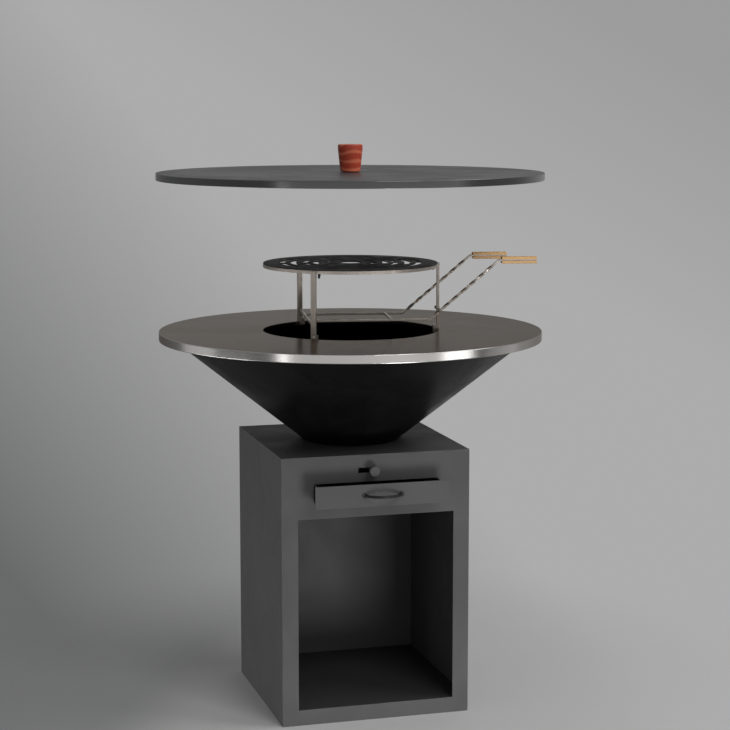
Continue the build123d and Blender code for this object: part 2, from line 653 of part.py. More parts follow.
def grip_scale(bend_x, y, side):
    """One wooden half of a grip, rounded on the side that the hand holds."""
    grip_x = bend_x + ROD_RUN + TANG_NECK
    near = side * TANG_THICK / 2
    far = side * (TANG_THICK / 2 + SCALE_THICK)
    low, high = sorted((near, far))
    half = GRIP_WIDTH / 2
    scale = block(grip_x, grip_x + GRIP_LENGTH, y - half, y + half, GRIP_LEVEL + low, GRIP_LEVEL + high)
    held = scale.faces().sort_by(Axis.Z)[-1 if side > 0 else 0]
    scale = fillet(held.edges(), GRIP_ROUND)
    return scale - grip_rivet_holes(grip_x, y, GRIP_RIVET / 2 + PIN_PLAY)


def grip_rivets():
    rivets = []
    for bend_x, y in HANDLES.values():
        rivets += grip_rivet_holes(bend_x + ROD_RUN + TANG_NECK, y, GRIP_RIVET / 2)
    return rivets


# Cooking grate

def cooking_grate():
    """A round plate pierced by rings of curved slots, staggered from ring to ring."""
    plate = Circle(GRATE_RADIUS) - Circle(GRATE_EYE_RADIUS)
    step = 360 / GRATE_SLOTS_PER_RING
    for ring in range(GRATE_RINGS):
        radius = GRATE_RING_FIRST + ring * GRATE_RING_PITCH
        web_angle = math.degrees((GRATE_WEB + GRATE_SLOT) / radius)
        for slot in range(GRATE_SLOTS_PER_RING):
            start = slot * step + web_angle / 2 + (ring % 2) * step / 2
            middle_line = CenterArc((0, 0), radius, start, step - web_angle)
            plate -= SlotArc(middle_line, GRATE_SLOT)
    return Pos(0, 0, GRATE_BOTTOM) * extrude(plate, GRATE_THICK)


def grate_lugs():
    """Tapered plates under the grate that keep it inside the band."""
    outer = LEG_FACE - BAND_THICK - GRATE_LUG_PLAY
    inner = outer - GRATE_LUG_LENGTH
    outline = [
        (inner, GRATE_BOTTOM),
        (outer, GRATE_BOTTOM),
        (outer, GRATE_BOTTOM - GRATE_LUG_DROP),
        (outer - GRATE_LUG_TOE, GRATE_BOTTOM - GRATE_LUG_DROP),
    ]
    face = make_face(Polyline([(x, 0, z) for x, z in outline], close=True))
    lug = extrude(face, GRATE_LUG_THICK / 2, both=True)
    turns = [GRATE_LUG_TURN + n * 360 / GRATE_LUGS for n in range(GRATE_LUGS)]
    return [Rot(0, 0, turn) * lug for turn in turns]


# Lid

def lid_sheet():
    """The lid's flat round top."""
    under = LID_TOP - LID_SHEET
    sheet = ease_corners(disc(LID_RADIUS, under, LID_TOP), LID_TOP, LID_CHAMFER)
    return sheet - disc(KNOB_SCREW_HOLE, under, LID_TOP)


def lid_skirt():
    """The band under the lid's sheet that fits round the griddle's edge."""
    under = LID_TOP - LID_SHEET
    bottom = LID_TOP - LID_EDGE
    return disc(LID_RADIUS, bottom, under) - disc(LID_RADIUS - LID_SHEET, bottom, under)


def lid_knob():
    """A turned wooden knob, straight above and tapered below."""
    top = WASHER_TOP + KNOB_HEIGHT
    knob = turned([
        (0, WASHER_TOP),
        (KNOB_BASE_DIAMETER / 2, WASHER_TOP),
        (KNOB_TOP_DIAMETER / 2, top - KNOB_COLLAR),
        (KNOB_TOP_DIAMETER / 2, top),
        (0, top),
    ])
    knob = ease_corners(knob, top, KNOB_CHAMFER)
    return knob - disc(KNOB_SCREW_HOLE, WASHER_TOP, WASHER_TOP + KNOB_SCREW_DEPTH)


def knob_washer():
    washer = disc(WASHER_DIAMETER / 2, LID_TOP, WASHER_TOP)
    return washer - disc(KNOB_SCREW_HOLE, LID_TOP, WASHER_TOP)


def knob_screw():
    under = LID_TOP - LID_SHEET
    shank_top = WASHER_TOP + KNOB_SCREW_DEPTH - SEAT_GAP
    shank = disc(KNOB_SCREW / 2, under, shank_top)
    return shank + disc(KNOB_SCREW_HEAD / 2, under - KNOB_SCREW_HEAD_HEIGHT, under)


# Assembly: every piece under its name

HANDLES = {
    "front": (FRONT_BEND_X, -RAIL_Y),
    "rear": (REAR_BEND_X, RAIL_Y),
}

fixed = {
    "left_side_panel": side_panel(-1),
    "right_side_panel": side_panel(1),
    "back_panel": back_panel(),
    "front_panel": front_panel(),
    "top_plate": top_plate(),
    "store_floor": store_floor(),
    "drawer_shelf": drawer_shelf(),
    "left_runner": runner(-1),
    "right_runner": runner(1),
    "fire_bowl": fire_bowl(),
    "bowl_base": bowl_base(),
    "front_damper_guide": damper_guide(-1),
    "rear_damper_guide": damper_guide(1),
    "guide_rivets": guide_rivets(),
    "ember_grate": ember_grate(),
    "drawer_tray": drawer_tray(),
    "drawer_front": drawer_front(),
    "drawer_handle": drawer_handle(),
    "handle_nuts": handle_nuts(),
    "damper_gate": damper_gate(),
    "damper_rod": damper_rod(),
    "damper_knob": damper_knob(),
    "griddle_plate": griddle_plate(),
    "griddle_lugs": griddle_lugs(),
    "lid_sheet": lid_sheet(),
    "lid_skirt": lid_skirt(),
    "lid_knob": lid_knob(),
    "knob_washer": knob_washer(),
    "knob_screw": knob_screw(),
}

stand = {
    "stand_band": stand_band(),
    "right_leg": leg(LEG_ANGLES[0]),
    "rear_leg": leg(LEG_ANGLES[1]),
    "front_leg": leg(LEG_ANGLES[2]),
    "foot_hooks": foot_hooks(),
    "leg_rivets": leg_rivets(),
    "cross_bar": cross_bar(),
    "rail_tie": rail_tie(),
    "handle_yoke": handle_yoke(),
    "grip_rivets": grip_rivets(),
    "cooking_grate": cooking_grate(),
    "grate_lugs": grate_lugs(),
}
for name, (bend_x, y) in HANDLES.items():
    stand[f"{name}_rail"] = rail(bend_x, y)
    stand[f"{name}_twisted_rod"] = twisted_rod(bend_x, y)
    stand[f"{name}_tang"] = tang(bend_x, y)
    stand[f"{name}_grip_upper"] = grip_scale(bend_x, y, 1)
    stand[f"{name}_grip_lower"] = grip_scale(bend_x, y, -1)


def solids_of(piece):
    """The separate solids of a piece, or of a list of pieces."""
    pieces = piece if isinstance(piece, list) else [piece]
    return [solid for shape in pieces for solid in shape.solids()]


os.makedirs("parts", exist_ok=True)
nodes = {name: solids_of(piece) for name, piece in fixed.items()}
nodes.update({name: [STAND * solid for solid in solids_of(piece)] for name, piece in stand.items()})
for name, solids in nodes.items():
    export_step(Compound(children=solids) if len(solids) > 1 else solids[0], f"parts/{name}.step")
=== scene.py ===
"""Looks of a charcoal fire-bowl grill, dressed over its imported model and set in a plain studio."""

import functools
import json
import math

import bmesh
import bpy
from bpy.props import FloatProperty, FloatVectorProperty, IntProperty, PointerProperty
from bpy.types import NodeSocket, Operator, Panel, PropertyGroup
from mathutils import Matrix, Vector


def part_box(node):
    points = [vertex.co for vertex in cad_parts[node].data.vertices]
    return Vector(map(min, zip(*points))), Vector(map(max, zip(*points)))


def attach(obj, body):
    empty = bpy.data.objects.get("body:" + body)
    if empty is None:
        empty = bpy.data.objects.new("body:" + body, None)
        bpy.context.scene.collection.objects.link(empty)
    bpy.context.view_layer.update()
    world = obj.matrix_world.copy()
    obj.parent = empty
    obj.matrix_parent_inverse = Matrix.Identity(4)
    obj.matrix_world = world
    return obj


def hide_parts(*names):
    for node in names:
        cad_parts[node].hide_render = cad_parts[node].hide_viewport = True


bl_info = {
    "name": "Fire-bowl Grill",
    "version": (1, 0, 0),
    "blender": (4, 5, 0),
    "location": "3D View > Sidebar > Grill",
    "description": "Dresses a charcoal fire-bowl grill and its studio around the packed model",
    "category": "Object",
}

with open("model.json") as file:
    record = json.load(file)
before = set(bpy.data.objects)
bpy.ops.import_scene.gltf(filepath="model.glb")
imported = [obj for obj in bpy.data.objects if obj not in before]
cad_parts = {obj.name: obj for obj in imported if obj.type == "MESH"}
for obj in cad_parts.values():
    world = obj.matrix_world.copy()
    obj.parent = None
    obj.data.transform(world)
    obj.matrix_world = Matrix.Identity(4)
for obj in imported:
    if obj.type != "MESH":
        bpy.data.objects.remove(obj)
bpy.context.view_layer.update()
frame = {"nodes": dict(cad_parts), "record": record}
NODES = frame["nodes"]
BODY_OF = {
    node: body for body, nodes in frame["record"]["behaviour"]["bodies"].items() for node in nodes
}
SLOT_OF = {part["node"]: part["material_slot"] for part in frame["record"]["subparts"]}

WELD_DISTANCE = 1e-6
MERGE_DISTANCE = 1e-5
AXIS_RADIUS = 1e-6
FLAT_ANGLE = math.radians(0.6)
SHARP_ANGLE = math.radians(30)
SMOOTH_ANGLE = math.radians(50)
EASE_STEPS = 3
CORNER_STEPS = 5
CORNER_REACH = 0.45
DAMPER_KNOB_STEPS = 64
LID_KNOB_STEPS = 96
FLOOR_STEPS = 128
BAR_STEP = 0.0025
SLOT_END_SHARE = 0.499
SENSOR_WIDTH = 36.0
EDGE_MARK = "edge"
FACING_MARK = "facing"
UP = Vector((0.0, 0.0, 1.0))


# Settings


def length(label, words, value):
    return FloatProperty(
        name=label, description=words, default=value, min=0.0, unit="LENGTH", precision=5
    )


def angle(label, words, value):
    return FloatProperty(
        name=label, description=words, default=value, subtype="ANGLE", unit="ROTATION"
    )


def count(label, words, value, least, most):
    return IntProperty(name=label, description=words, default=value, min=least, max=most)


def colour(label, words, value):
    return FloatVectorProperty(
        name=label, description=words, default=value, min=0.0, max=1.0, size=3, subtype="COLOR"
    )


def power(label, words, value):
    return FloatProperty(name=label, description=words, default=value, min=0.0, unit="POWER")


class GrillSizes(PropertyGroup):
    """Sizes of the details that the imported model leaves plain."""

    sheet_ease: length("Sheet ease", "Rounding of the cabinet's cut sheet edges", 0.0007)
    bar_ease: length("Bar ease", "Rounding of the stand's bars and flat legs", 0.0006)
    tray_ease: length("Tray ease", "Rounding of the ash tray's thin edges", 0.0004)
    plate_ease: length("Plate ease", "Rounding of the cooking grate's cut edges", 0.0007)
    turning_steps: count("Turning steps", "Facets round each turned piece", 192, 24, 512)
    bowl_base_radius: length("Bowl base", "Outer radius of the cone at its base", 0.081)
    bowl_wall_run: length("Bowl wall", "Width of the cone's wall, measured level", 0.004822)
    bowl_flange: length("Bowl flange", "Width of the rim that is turned inwards", 0.018)
    bowl_sheet: length("Bowl sheet", "Thickness of the bowl's rim", 0.003)
    griddle_hole_radius: length("Griddle hole", "Radius of the griddle's opening", 0.2285)
    griddle_plate: length("Griddle plate", "Thickness of the cooking surface", 0.012)
    griddle_lip: length("Griddle lip", "Width of the thick outer edge", 0.012)
    griddle_round: length("Griddle round", "Rounding of the griddle's corners", 0.0016)
    band_thick: length("Band thickness", "Thickness of the ring that carries the grate", 0.004)
    lid_sheet: length("Lid sheet", "Thickness of the lid's sheet and skirt", 0.002)
    lid_round: length("Lid round", "Rounding of the lid's upper corner", 0.0018)
    knob_base_radius: length("Knob base", "Radius at the foot of the lid's knob", 0.026)
    knob_collar: length("Knob collar", "Straight upper stretch of the lid's knob", 0.012)
    knob_round: length("Knob round", "Rounding of the knob's upper corner", 0.0030)
    damper_knob_round: length("Damper knob round", "Rounding of the damper knob", 0.0028)
    stand_turn: angle("Stand turn", "Turn of the stand about the bowl's axis", math.radians(-9))
    rod_slope: angle("Rod slope", "Rise of the twisted rods above level", math.radians(40))
    rod_turns: FloatProperty(
        name="Rod turns", description="Full turns twisted into each rod", default=1.75
    )
    rod_plain: length("Rod plain end", "Untwisted stretch at each end of a rod", 0.016)
    bend_radius: length("Bend radius", "Radius at which a rail turns up into its rod", 0.006)
    rivet_dome: length("Rivet dome", "Height of a rivet's domed head", 0.0020)
    grip_rivet_dome: length("Grip rivet dome", "Height of a grip rivet's head", 0.0006)
    grate_eye_radius: length("Grate eye", "Radius of the hole in the grate's middle", 0.030)
    grate_ring_first: length("First ring", "Radius of the innermost ring of slots", 0.062)
    grate_ring_pitch: length("Ring pitch", "Distance from one ring of slots to the next", 0.029)
    grate_rings: count("Rings", "Rings of slots in the grate", 5, 1, 12)
    grate_slot: length("Slot width", "Width of the grate's slots", 0.015)
    grate_web: length("Slot web", "Metal left between two slots of one ring", 0.014)
    grate_slots: count("Slots per ring", "Slots in each ring of the grate", 6, 1, 24)


class GrillColours(PropertyGroup):
    """Colours of the grill's finishes."""

    cabinet: colour("Cabinet paint", "Paint of the cabinet and its drawer", (0.080, 0.080, 0.081))
    pull: colour("Pull paint", "Darker paint of the drawer's pull", (0.010, 0.010, 0.010))
    # Painted shade: the log store's floor is coloured darker than the cabinet paint to stand in for
    # the shade inside the store.
    store_floor: colour("Store floor", "Darker floor of the log store", (0.042, 0.042, 0.042))
    cabinet_rub: colour("Rubbed paint", "Paint rubbed thin along edges", (0.140, 0.138, 0.135))
    bowl: colour("Bowl paint", "Heat-proof black of the fire bowl", (0.0040, 0.0040, 0.0040))
    bowl_rub: colour("Bowl dust", "Pale ash dust on the fire bowl", (0.0070, 0.0068, 0.0066))
    lid: colour("Lid paint", "Satin dark grey of the lid", (0.046, 0.0455, 0.049))
    lid_rub: colour("Rubbed lid", "Lid paint rubbed thin at the rim", (0.120, 0.118, 0.120))
    griddle: colour("Griddle steel", "Cooking surface of the griddle", (0.205, 0.186, 0.168))
    griddle_season: colour("Seasoned steel", "Oil baked onto the griddle", (0.155, 0.132, 0.112))
    griddle_sheen: colour("Griddle sheen", "Griddle's tint at a slant", (0.59, 0.54, 0.505))
    griddle_edge: colour("Turned edge", "Bright edge of the griddle", (0.640, 0.620, 0.600))
    steel: colour("Stand steel", "Brushed bars and legs of the stand", (0.650, 0.584, 0.524))
    steel_dark: colour("Steel shade", "Darker streaks in brushed steel", (0.410, 0.362, 0.314))
    plain: colour("Plain steel", "Galvanised tray and small fittings", (0.400, 0.400, 0.395))
    plain_dark: colour("Plain shade", "Darker bloom on galvanised steel", (0.340, 0.340, 0.338))
    # Painted shade: the runners are coloured near black to stand in for the shade in the drawer's
    # mouth, where their front ends show.
    runner: colour("Runner steel", "Blackened runners of the drawer", (0.050, 0.050, 0.050))
    iron: colour("Grate black", "Matt black of the grates", (0.020, 0.0195, 0.019))
    iron_rub: colour("Rubbed grate", "Iron showing at the grate's edges", (0.085, 0.080, 0.075))
    grip: colour("Grip wood", "Pale wood of the grips", (0.680, 0.420, 0.185))
    grip_dark: colour("Grip grain", "Darker grain in the grips", (0.470, 0.250, 0.098))
    knob: colour("Knob wood", "Light bands of the lid's knob", (0.640, 0.165, 0.080))
    knob_dark: colour("Knob grain", "Dark bands of the lid's knob", (0.410, 0.036, 0.013))


class GrillStudio(PropertyGroup):
    """Camera, lamps and backdrop."""

    camera_place: FloatVectorProperty(
        name="Camera", description="Where the camera stands", default=(-1.3419, -4.8436, 1.5991),
        size=3, subtype="TRANSLATION", unit="LENGTH", precision=4,
    )
    camera_look: FloatVectorProperty(
        name="Look", description="Direction in which the camera looks",
        default=(0.27157, 0.95208, -0.14073), size=3, subtype="DIRECTION", precision=5,
    )
    lens: FloatProperty(
        name="Lens", description="Focal length of the camera on a 36 mm sensor", default=95.28,
        min=1.0, unit="CAMERA",
    )
    key_power: power("Key lamp", "Power of the soft lamp high in front", 73.0)
    top_power: power("Top lamp", "Power of the soft lamp overhead", 55.0)
    under_power: power("Under lamp", "Power of the panel under the floor, for the store", 40.0)
    left_power: power("Left lamp", "Power of the low lamp that lights the left panel", 13.0)
    front_power: power("Front lamp", "Power of the wide panel seen in the griddle's edge", 43.5)
    edge_power: power("Edge lamp", "Power of the strip at the right, seen in that edge", 9.5)
    glint_power: power("Glint lamp", "Power of the strip at the left, seen in the steel", 8.0)
    left_rear_power: power("Left rear lamp", "Power of the lamp behind at the left", 2.1)
    right_power: power("Right lamp", "Power of the lamp beside the grill at the right", 1.0)
    sky: FloatProperty(
        name="Room light", description="Level of the even light from all round", default=0.22,
        min=0.0, max=1.0, subtype="FACTOR",
    )
    backdrop: colour("Backdrop", "Bright side of the backdrop", (0.413, 0.415, 0.413))
    backdrop_dark: colour("Backdrop shade", "Shaded corner", (0.140, 0.142, 0.143))
    room_dark: colour("Room shade", "Unlit room seen in reflections", (0.100, 0.100, 0.100))
    floor: colour("Floor", "Pale studio floor", (0.600, 0.600, 0.600))
    # Painted shadow: the floor's colour at the left and behind the grill, where the grill's shadow
    # falls.
    floor_shade: colour("Floor shade", "Floor away from the lamps", (0.385, 0.387, 0.390))
    floor_clear: length("Floor clear", "Distance at which the floor begins to fade", 0.3)
    floor_radius: length("Floor radius", "Distance at which the floor has faded", 1.45)


# Node trees

FLOAT, VECTOR, COUNT = "NodeSocketFloat", "NodeSocketVector", "NodeSocketInt"
GEOMETRY, MATERIAL = "NodeSocketGeometry", "NodeSocketMaterial"
LEVELLED = (1.0, 1.0, 0.0)
BAND_STRETCH = (0.18, 1.0, 1.0)
FIBRE_STRETCH = (0.04, 1.0, 1.0)


def feed(tree, node, inputs):
    """Gives each input of a node its value, or a link from the socket that feeds it."""
    for key, value in inputs.items():
        if isinstance(value, NodeSocket):
            tree.links.new(value, node.inputs[key])
        else:
            node.inputs[key].default_value = value


def put(tree, kind, inputs=None, **settings):
    """Adds a node with its settings and inputs."""
    node = tree.nodes.new(kind)
    for name, value in settings.items():
        setattr(node, name, value)
    feed(tree, node, inputs or {})
    return node


def calc(tree, operation, *values):
    """The output of a Math node."""
    inputs = dict(enumerate(values))
    return put(tree, "ShaderNodeMath", inputs, operation=operation).outputs[0]


def vector_calc(tree, operation, *values):
    """The output of a Vector Math node, which is a number for lengths and dot products."""
    node = put(tree, "ShaderNodeVectorMath", dict(enumerate(values)), operation=operation)
    return node.outputs["Value" if operation in {"LENGTH", "DOT_PRODUCT"} else "Vector"]


def triple(tree, **parts):
    """A vector made of numbers for its X, Y and Z."""
    return put(tree, "ShaderNodeCombineXYZ", parts).outputs[0]


def ranged(tree, value, low, high, to_low=0.0, to_high=1.0, kind="SMOOTHSTEP"):
    """A value carried from one range to another."""
    inputs = {
        "Value": value, "From Min": low, "From Max": high, "To Min": to_low, "To Max": to_high
    }
    return put(tree, "ShaderNodeMapRange", inputs, interpolation_type=kind).outputs["Result"]


def between(tree, share, first, second):
    """A number that goes smoothly from one to another as a share goes from 0 to 1."""
    return ranged(tree, share, 0.0, 1.0, first, second)


def noise(tree, place, scale, detail, roughness=0.5, distortion=0.0):
    """The grey output of a Noise Texture."""
    inputs = {
        "Vector": place, "Scale": scale, "Detail": detail, "Roughness": roughness,
        "Distortion": distortion,
    }
    return put(tree, "ShaderNodeTexNoise", inputs).outputs["Fac"]


def patches(tree, place, scale, detail, low=0.3, high=0.7, **more):
    """Noise with its contrast raised."""
    return ranged(tree, noise(tree, place, scale, detail, **more), low, high)


def opaque(value):
    return value if isinstance(value, NodeSocket) else (value[0], value[1], value[2], 1.0)


def blended(tree, factor, first, second):
    """A colour between two others, which are colours or sockets."""
    values = {0: factor, 6: opaque(first), 7: opaque(second)}
    return put(tree, "ShaderNodeMix", values, data_type="RGBA").outputs[2]


def blended_value(tree, factor, first, second):
    """A number between two others, which are numbers or sockets."""
    values = {0: factor, 2: first, 3: second}
    return put(tree, "ShaderNodeMix", values, data_type="FLOAT").outputs[0]


def label_of(word):
    return word.replace("_", " ").capitalize()


def new_group(wire, kind, socket, *more):
    """A node group; the annotations of the function that wires it up name its inputs."""
    tree = bpy.data.node_groups.new(label_of(wire.__name__), kind)
    inputs = {label_of(name): sort for name, sort in wire.__annotations__.items()}
    for label, sort in inputs.items():
        tree.interface.new_socket(label, in_out="INPUT", socket_type=sort)
    given = tree.nodes.new("NodeGroupInput").outputs
    results = wire(tree, *(given[label] for label in inputs), *more)
    for label in results:
        tree.interface.new_socket(label, in_out="OUTPUT", socket_type=socket)
    feed(tree, tree.nodes.new("NodeGroupOutput"), results)
    return tree


def shader_group(wire):
    """Lets a function that wires up a shader tree return it as a group, built once."""
    return functools.cache(lambda: new_group(wire, "ShaderNodeTree", FLOAT))


def geometry_group(wire):
    """Lets a function that wires up a geometry tree return it as a group, built once."""
    return functools.cache(lambda *more: new_group(wire, "GeometryNodeTree", GEOMETRY, *more))


def use_group(tree, group, **inputs):
    """The outputs of a shader group placed in a material."""
    named = {label_of(name): value for name, value in inputs.items()}
    return put(tree, "ShaderNodeGroup", named, node_tree=group()).outputs


@shader_group
def paint_skin(tree, vector: VECTOR, peel_scale: FLOAT, smudge_scale: FLOAT):
    """Fine peel and broad smudges of sprayed paint."""
    return {
        "Peel": noise(tree, vector, peel_scale, detail=2.0),
        "Smudge": patches(
            tree, vector, smudge_scale, detail=5.0, low=0.32, high=0.70, roughness=0.62,
            distortion=0.8,
        ),
    }


@shader_group
def edge_rub(tree, vector: VECTOR, scale: FLOAT, amount: FLOAT):
    """Where a finish is rubbed thin along the eased edges of a piece."""
    marked = put(tree, "ShaderNodeAttribute", attribute_name=EDGE_MARK).outputs["Fac"]
    worn = patches(tree, vector, scale, detail=4.0, low=0.30, high=0.62, roughness=0.65)
    return {"Mask": calc(tree, "MULTIPLY", marked, calc(tree, "MULTIPLY", worn, amount))}


@shader_group
def turned_marks(tree, vector: VECTOR, ring_scale: FLOAT, breaks: FLOAT):
    """Fine rings left by a lathe round the Z axis, and the distance from that axis."""
    level = vector_calc(tree, "MULTIPLY", vector, LEVELLED)
    radius = vector_calc(tree, "LENGTH", level)
    around = put(tree, "ShaderNodeSeparateXYZ", {0: vector_calc(tree, "NORMALIZE", level)}).outputs
    rings = triple(
        tree,
        X=calc(tree, "MULTIPLY", radius, ring_scale),
        Y=calc(tree, "MULTIPLY", around["X"], breaks),
        Z=calc(tree, "MULTIPLY", around["Y"], breaks),
    )
    return {"Marks": patches(tree, rings, scale=1.0, detail=3.0), "Radius": radius}


@shader_group
def brushed_marks(tree, vector: VECTOR, stretch: VECTOR, bloom_scale: FLOAT):
    """Streaks of brushed or rolled metal; the stretch is small along the streaks."""
    drawn = vector_calc(tree, "MULTIPLY", vector, stretch)
    return {
        "Streaks": patches(tree, drawn, scale=1.0, detail=3.0),
        "Bloom": patches(tree, vector, bloom_scale, detail=4.0, distortion=0.5),
    }


@shader_group
def wood_grain(tree, vector: VECTOR, band_scale: FLOAT, waver: FLOAT, fibre_scale: FLOAT):
    """Growth bands across the grain and fine fibres along it, which is the vector's X."""
    slow = vector_calc(tree, "MULTIPLY", vector, BAND_STRETCH)
    bands = put(tree, "ShaderNodeTexWave", {
        "Vector": slow, "Scale": band_scale, "Distortion": waver, "Detail": 3.0,
        "Detail Scale": 1.4,
    }, bands_direction="Z")
    thin = vector_calc(tree, "MULTIPLY", vector, FIBRE_STRETCH)
    return {
        "Bands": bands.outputs["Fac"],
        "Fibres": patches(tree, thin, fibre_scale, detail=4.0, roughness=0.6),
    }


# Finishes, named after their material slots; each gives its shader's inputs


def new_finish(name, wire, settings):
    """A material wired up by a function of its tree, its object coordinates and settings."""
    material = bpy.data.materials.new(name)
    material.use_nodes = True
    tree = material.node_tree
    place = tree.nodes.new("ShaderNodeTexCoord").outputs["Object"]
    feed(tree, tree.nodes["Principled BSDF"], wire(tree, place, settings))
    return material


def bumped(tree, height, distance, strength):
    inputs = {"Height": height, "Distance": distance, "Strength": strength}
    return put(tree, "ShaderNodeBump", inputs).outputs["Normal"]


def tinted(value, share):
    return tuple(part * share for part in value)


def painted(tree, place, paint, rubbed, roughness, gloss, rub):
    """Sprayed paint with peel, smudges and rubbed edges."""
    skin = use_group(tree, paint_skin, vector=place, peel_scale=620.0, smudge_scale=4.5)
    worn = use_group(tree, edge_rub, vector=place, scale=22.0, amount=rub)["Mask"]
    shade = blended(tree, skin["Smudge"], tinted(paint, 0.96), tinted(paint, 1.04))
    return {
        "Base Color": blended(tree, worn, shade, rubbed),
        "Roughness": between(tree, skin["Smudge"], roughness + 0.05, roughness - 0.05),
        "Specular IOR Level": gloss,
        "Normal": bumped(tree, skin["Peel"], distance=0.0003, strength=0.35),
    }


def cabinet_paint(tree, place, colours):
    return painted(
        tree, place, colours.cabinet, colours.cabinet_rub, roughness=0.55, gloss=0.14, rub=0.75
    )


def pull_finish(tree, place, colours):
    return painted(
        tree, place, colours.pull, colours.cabinet_rub, roughness=0.42, gloss=0.30, rub=0.0
    )


# Painted shade: a darker paint on the log store's floor stands in for the shade inside the store.
def store_floor_finish(tree, place, colours):
    return painted(
        tree, place, colours.store_floor, colours.cabinet_rub, roughness=0.60, gloss=0.10, rub=0.3
    )


def lid_paint(tree, place, colours):
    """Satin paint with a glossier coat round the skirt, where the colour is also darkened as painted
    shade.
    """
    inputs = painted(
        tree, place, colours.lid, colours.lid_rub, roughness=0.42, gloss=0.30, rub=0.6
    )
    marks = use_group(tree, turned_marks, vector=place, ring_scale=900.0, breaks=3.0)
    radius = outer_radius("lid_skirt")
    skirt = ranged(tree, marks["Radius"], radius - 0.0006, radius - 0.0001)
    # Painted shade: the skirt's colour is the lid paint darkened to about a third, standing in for
    # the shade on the lid's side; the coat on it is real gloss.
    paint = blended(tree, skirt, inputs["Base Color"], tinted(colours.lid, 0.36))
    coat = {"Coat Weight": skirt, "Coat Roughness": 0.20, "Coat IOR": 2.0}
    return {**inputs, "Base Color": paint, **coat}


def bowl_paint(tree, place, colours):
    """Heat-proof black with a little ash dust."""
    skin = use_group(tree, paint_skin, vector=place, peel_scale=480.0, smudge_scale=6.0)
    return {
        "Base Color": blended(tree, skin["Smudge"], colours.bowl, colours.bowl_rub),
        "Roughness": between(tree, skin["Smudge"], 0.34, 0.46),
        "Specular IOR Level": 0.12,
        "Normal": bumped(tree, skin["Peel"], distance=0.0003, strength=0.35),
    }


def griddle_steel(tree, place, colours):
    """Turned steel, browned by baked oil on top and bright at the outer edge."""
    marks = use_group(tree, turned_marks, vector=place, ring_scale=900.0, breaks=3.0)
    skin = use_group(tree, paint_skin, vector=place, peel_scale=260.0, smudge_scale=3.2)
    radius = outer_radius("griddle_plate")
    edge = ranged(tree, marks["Radius"], radius - 0.0022, radius - 0.0006)
    heat = ranged(tree, marks["Radius"], 0.22, 0.36, 0.40, 0.0)
    browned = calc(tree, "MAXIMUM", calc(tree, "MULTIPLY", skin["Smudge"], 0.55), heat)
    cooked = blended(tree, browned, colours.griddle, colours.griddle_season)
    lines = calc(tree, "MULTIPLY", marks["Marks"], 0.30)
    lined = blended(tree, lines, cooked, tinted(colours.griddle, 0.8))
    return {
        "Base Color": blended(tree, edge, lined, colours.griddle_edge),
        "Metallic": 1.0,
        "Specular Tint": opaque(colours.griddle_sheen),
        "Roughness": blended_value(tree, edge, between(tree, skin["Smudge"], 0.22, 0.18), 0.20),
        "Normal": bumped(tree, marks["Marks"], distance=0.00008, strength=0.5),
    }


def brushed(tree, place, bright, dark, stretch, roughness, bloom):
    """Brushed or galvanised steel with streaks and a soft bloom."""
    marks = use_group(tree, brushed_marks, vector=place, stretch=stretch, bloom_scale=bloom)
    worn = use_group(tree, edge_rub, vector=place, scale=40.0, amount=0.6)["Mask"]
    clouded = calc(tree, "MULTIPLY", marks["Bloom"], 0.4)
    shade = blended(tree, calc(tree, "MULTIPLY_ADD", marks["Streaks"], 0.45, clouded), bright, dark)
    return {
        "Base Color": blended(tree, worn, shade, tinted(bright, 1.25)),
        "Metallic": 1.0,
        "Roughness": between(tree, marks["Bloom"], roughness - 0.06, roughness + 0.08),
        "Normal": bumped(tree, marks["Streaks"], distance=0.00008, strength=0.5),
    }


def bare_steel(tree, place, colours):
    return brushed(
        tree, place, colours.steel, colours.steel_dark, stretch=(900.0, 900.0, 60.0),
        roughness=0.34, bloom=26.0,
    )


def plain_steel(tree, place, colours):
    return brushed(
        tree, place, colours.plain, colours.plain_dark, stretch=(140.0, 140.0, 140.0),
        roughness=0.42, bloom=45.0,
    )


# Painted shade: near-black steel on the runners stands in for the shade in the drawer's mouth.
def runner_finish(tree, place, colours):
    return brushed(
        tree, place, colours.runner, tinted(colours.runner, 0.7), stretch=(140.0, 140.0, 140.0),
        roughness=0.50, bloom=45.0,
    )


def black_iron(tree, place, colours):
    """Matt black iron, rubbed at its edges."""
    skin = use_group(tree, paint_skin, vector=place, peel_scale=380.0, smudge_scale=14.0)
    worn = use_group(tree, edge_rub, vector=place, scale=60.0, amount=0.8)["Mask"]
    shade = blended(tree, skin["Smudge"], tinted(colours.iron, 0.75), tinted(colours.iron, 1.35))
    return {
        "Base Color": blended(tree, worn, shade, colours.iron_rub),
        "Roughness": between(tree, skin["Smudge"], 0.62, 0.48),
        "Specular IOR Level": 0.25,
        "Normal": bumped(tree, skin["Peel"], distance=0.0006, strength=0.5),
    }


def grip_oak(tree, place, colours):
    """Oiled pale wood with the grain along the grips."""
    unturn = (0.0, 0.0, -bpy.context.scene.grill_sizes.stand_turn)
    along = put(tree, "ShaderNodeMapping", {"Vector": place, "Rotation": unturn}).outputs[0]
    grain = use_group(
        tree, wood_grain, vector=along, band_scale=34.0, waver=3.0, fibre_scale=240.0
    )
    worn = use_group(tree, edge_rub, vector=place, scale=80.0, amount=0.5)["Mask"]
    dark = calc(tree, "MULTIPLY", calc(tree, "ADD", grain["Bands"], grain["Fibres"]), 0.22)
    shade = blended(tree, dark, colours.grip, colours.grip_dark)
    return {
        "Base Color": blended(tree, worn, shade, tinted(colours.grip, 1.2)),
        "Roughness": between(tree, grain["Fibres"], 0.52, 0.62),
        "Specular IOR Level": 0.3,
        "Normal": bumped(tree, grain["Fibres"], distance=0.0001, strength=0.3),
    }


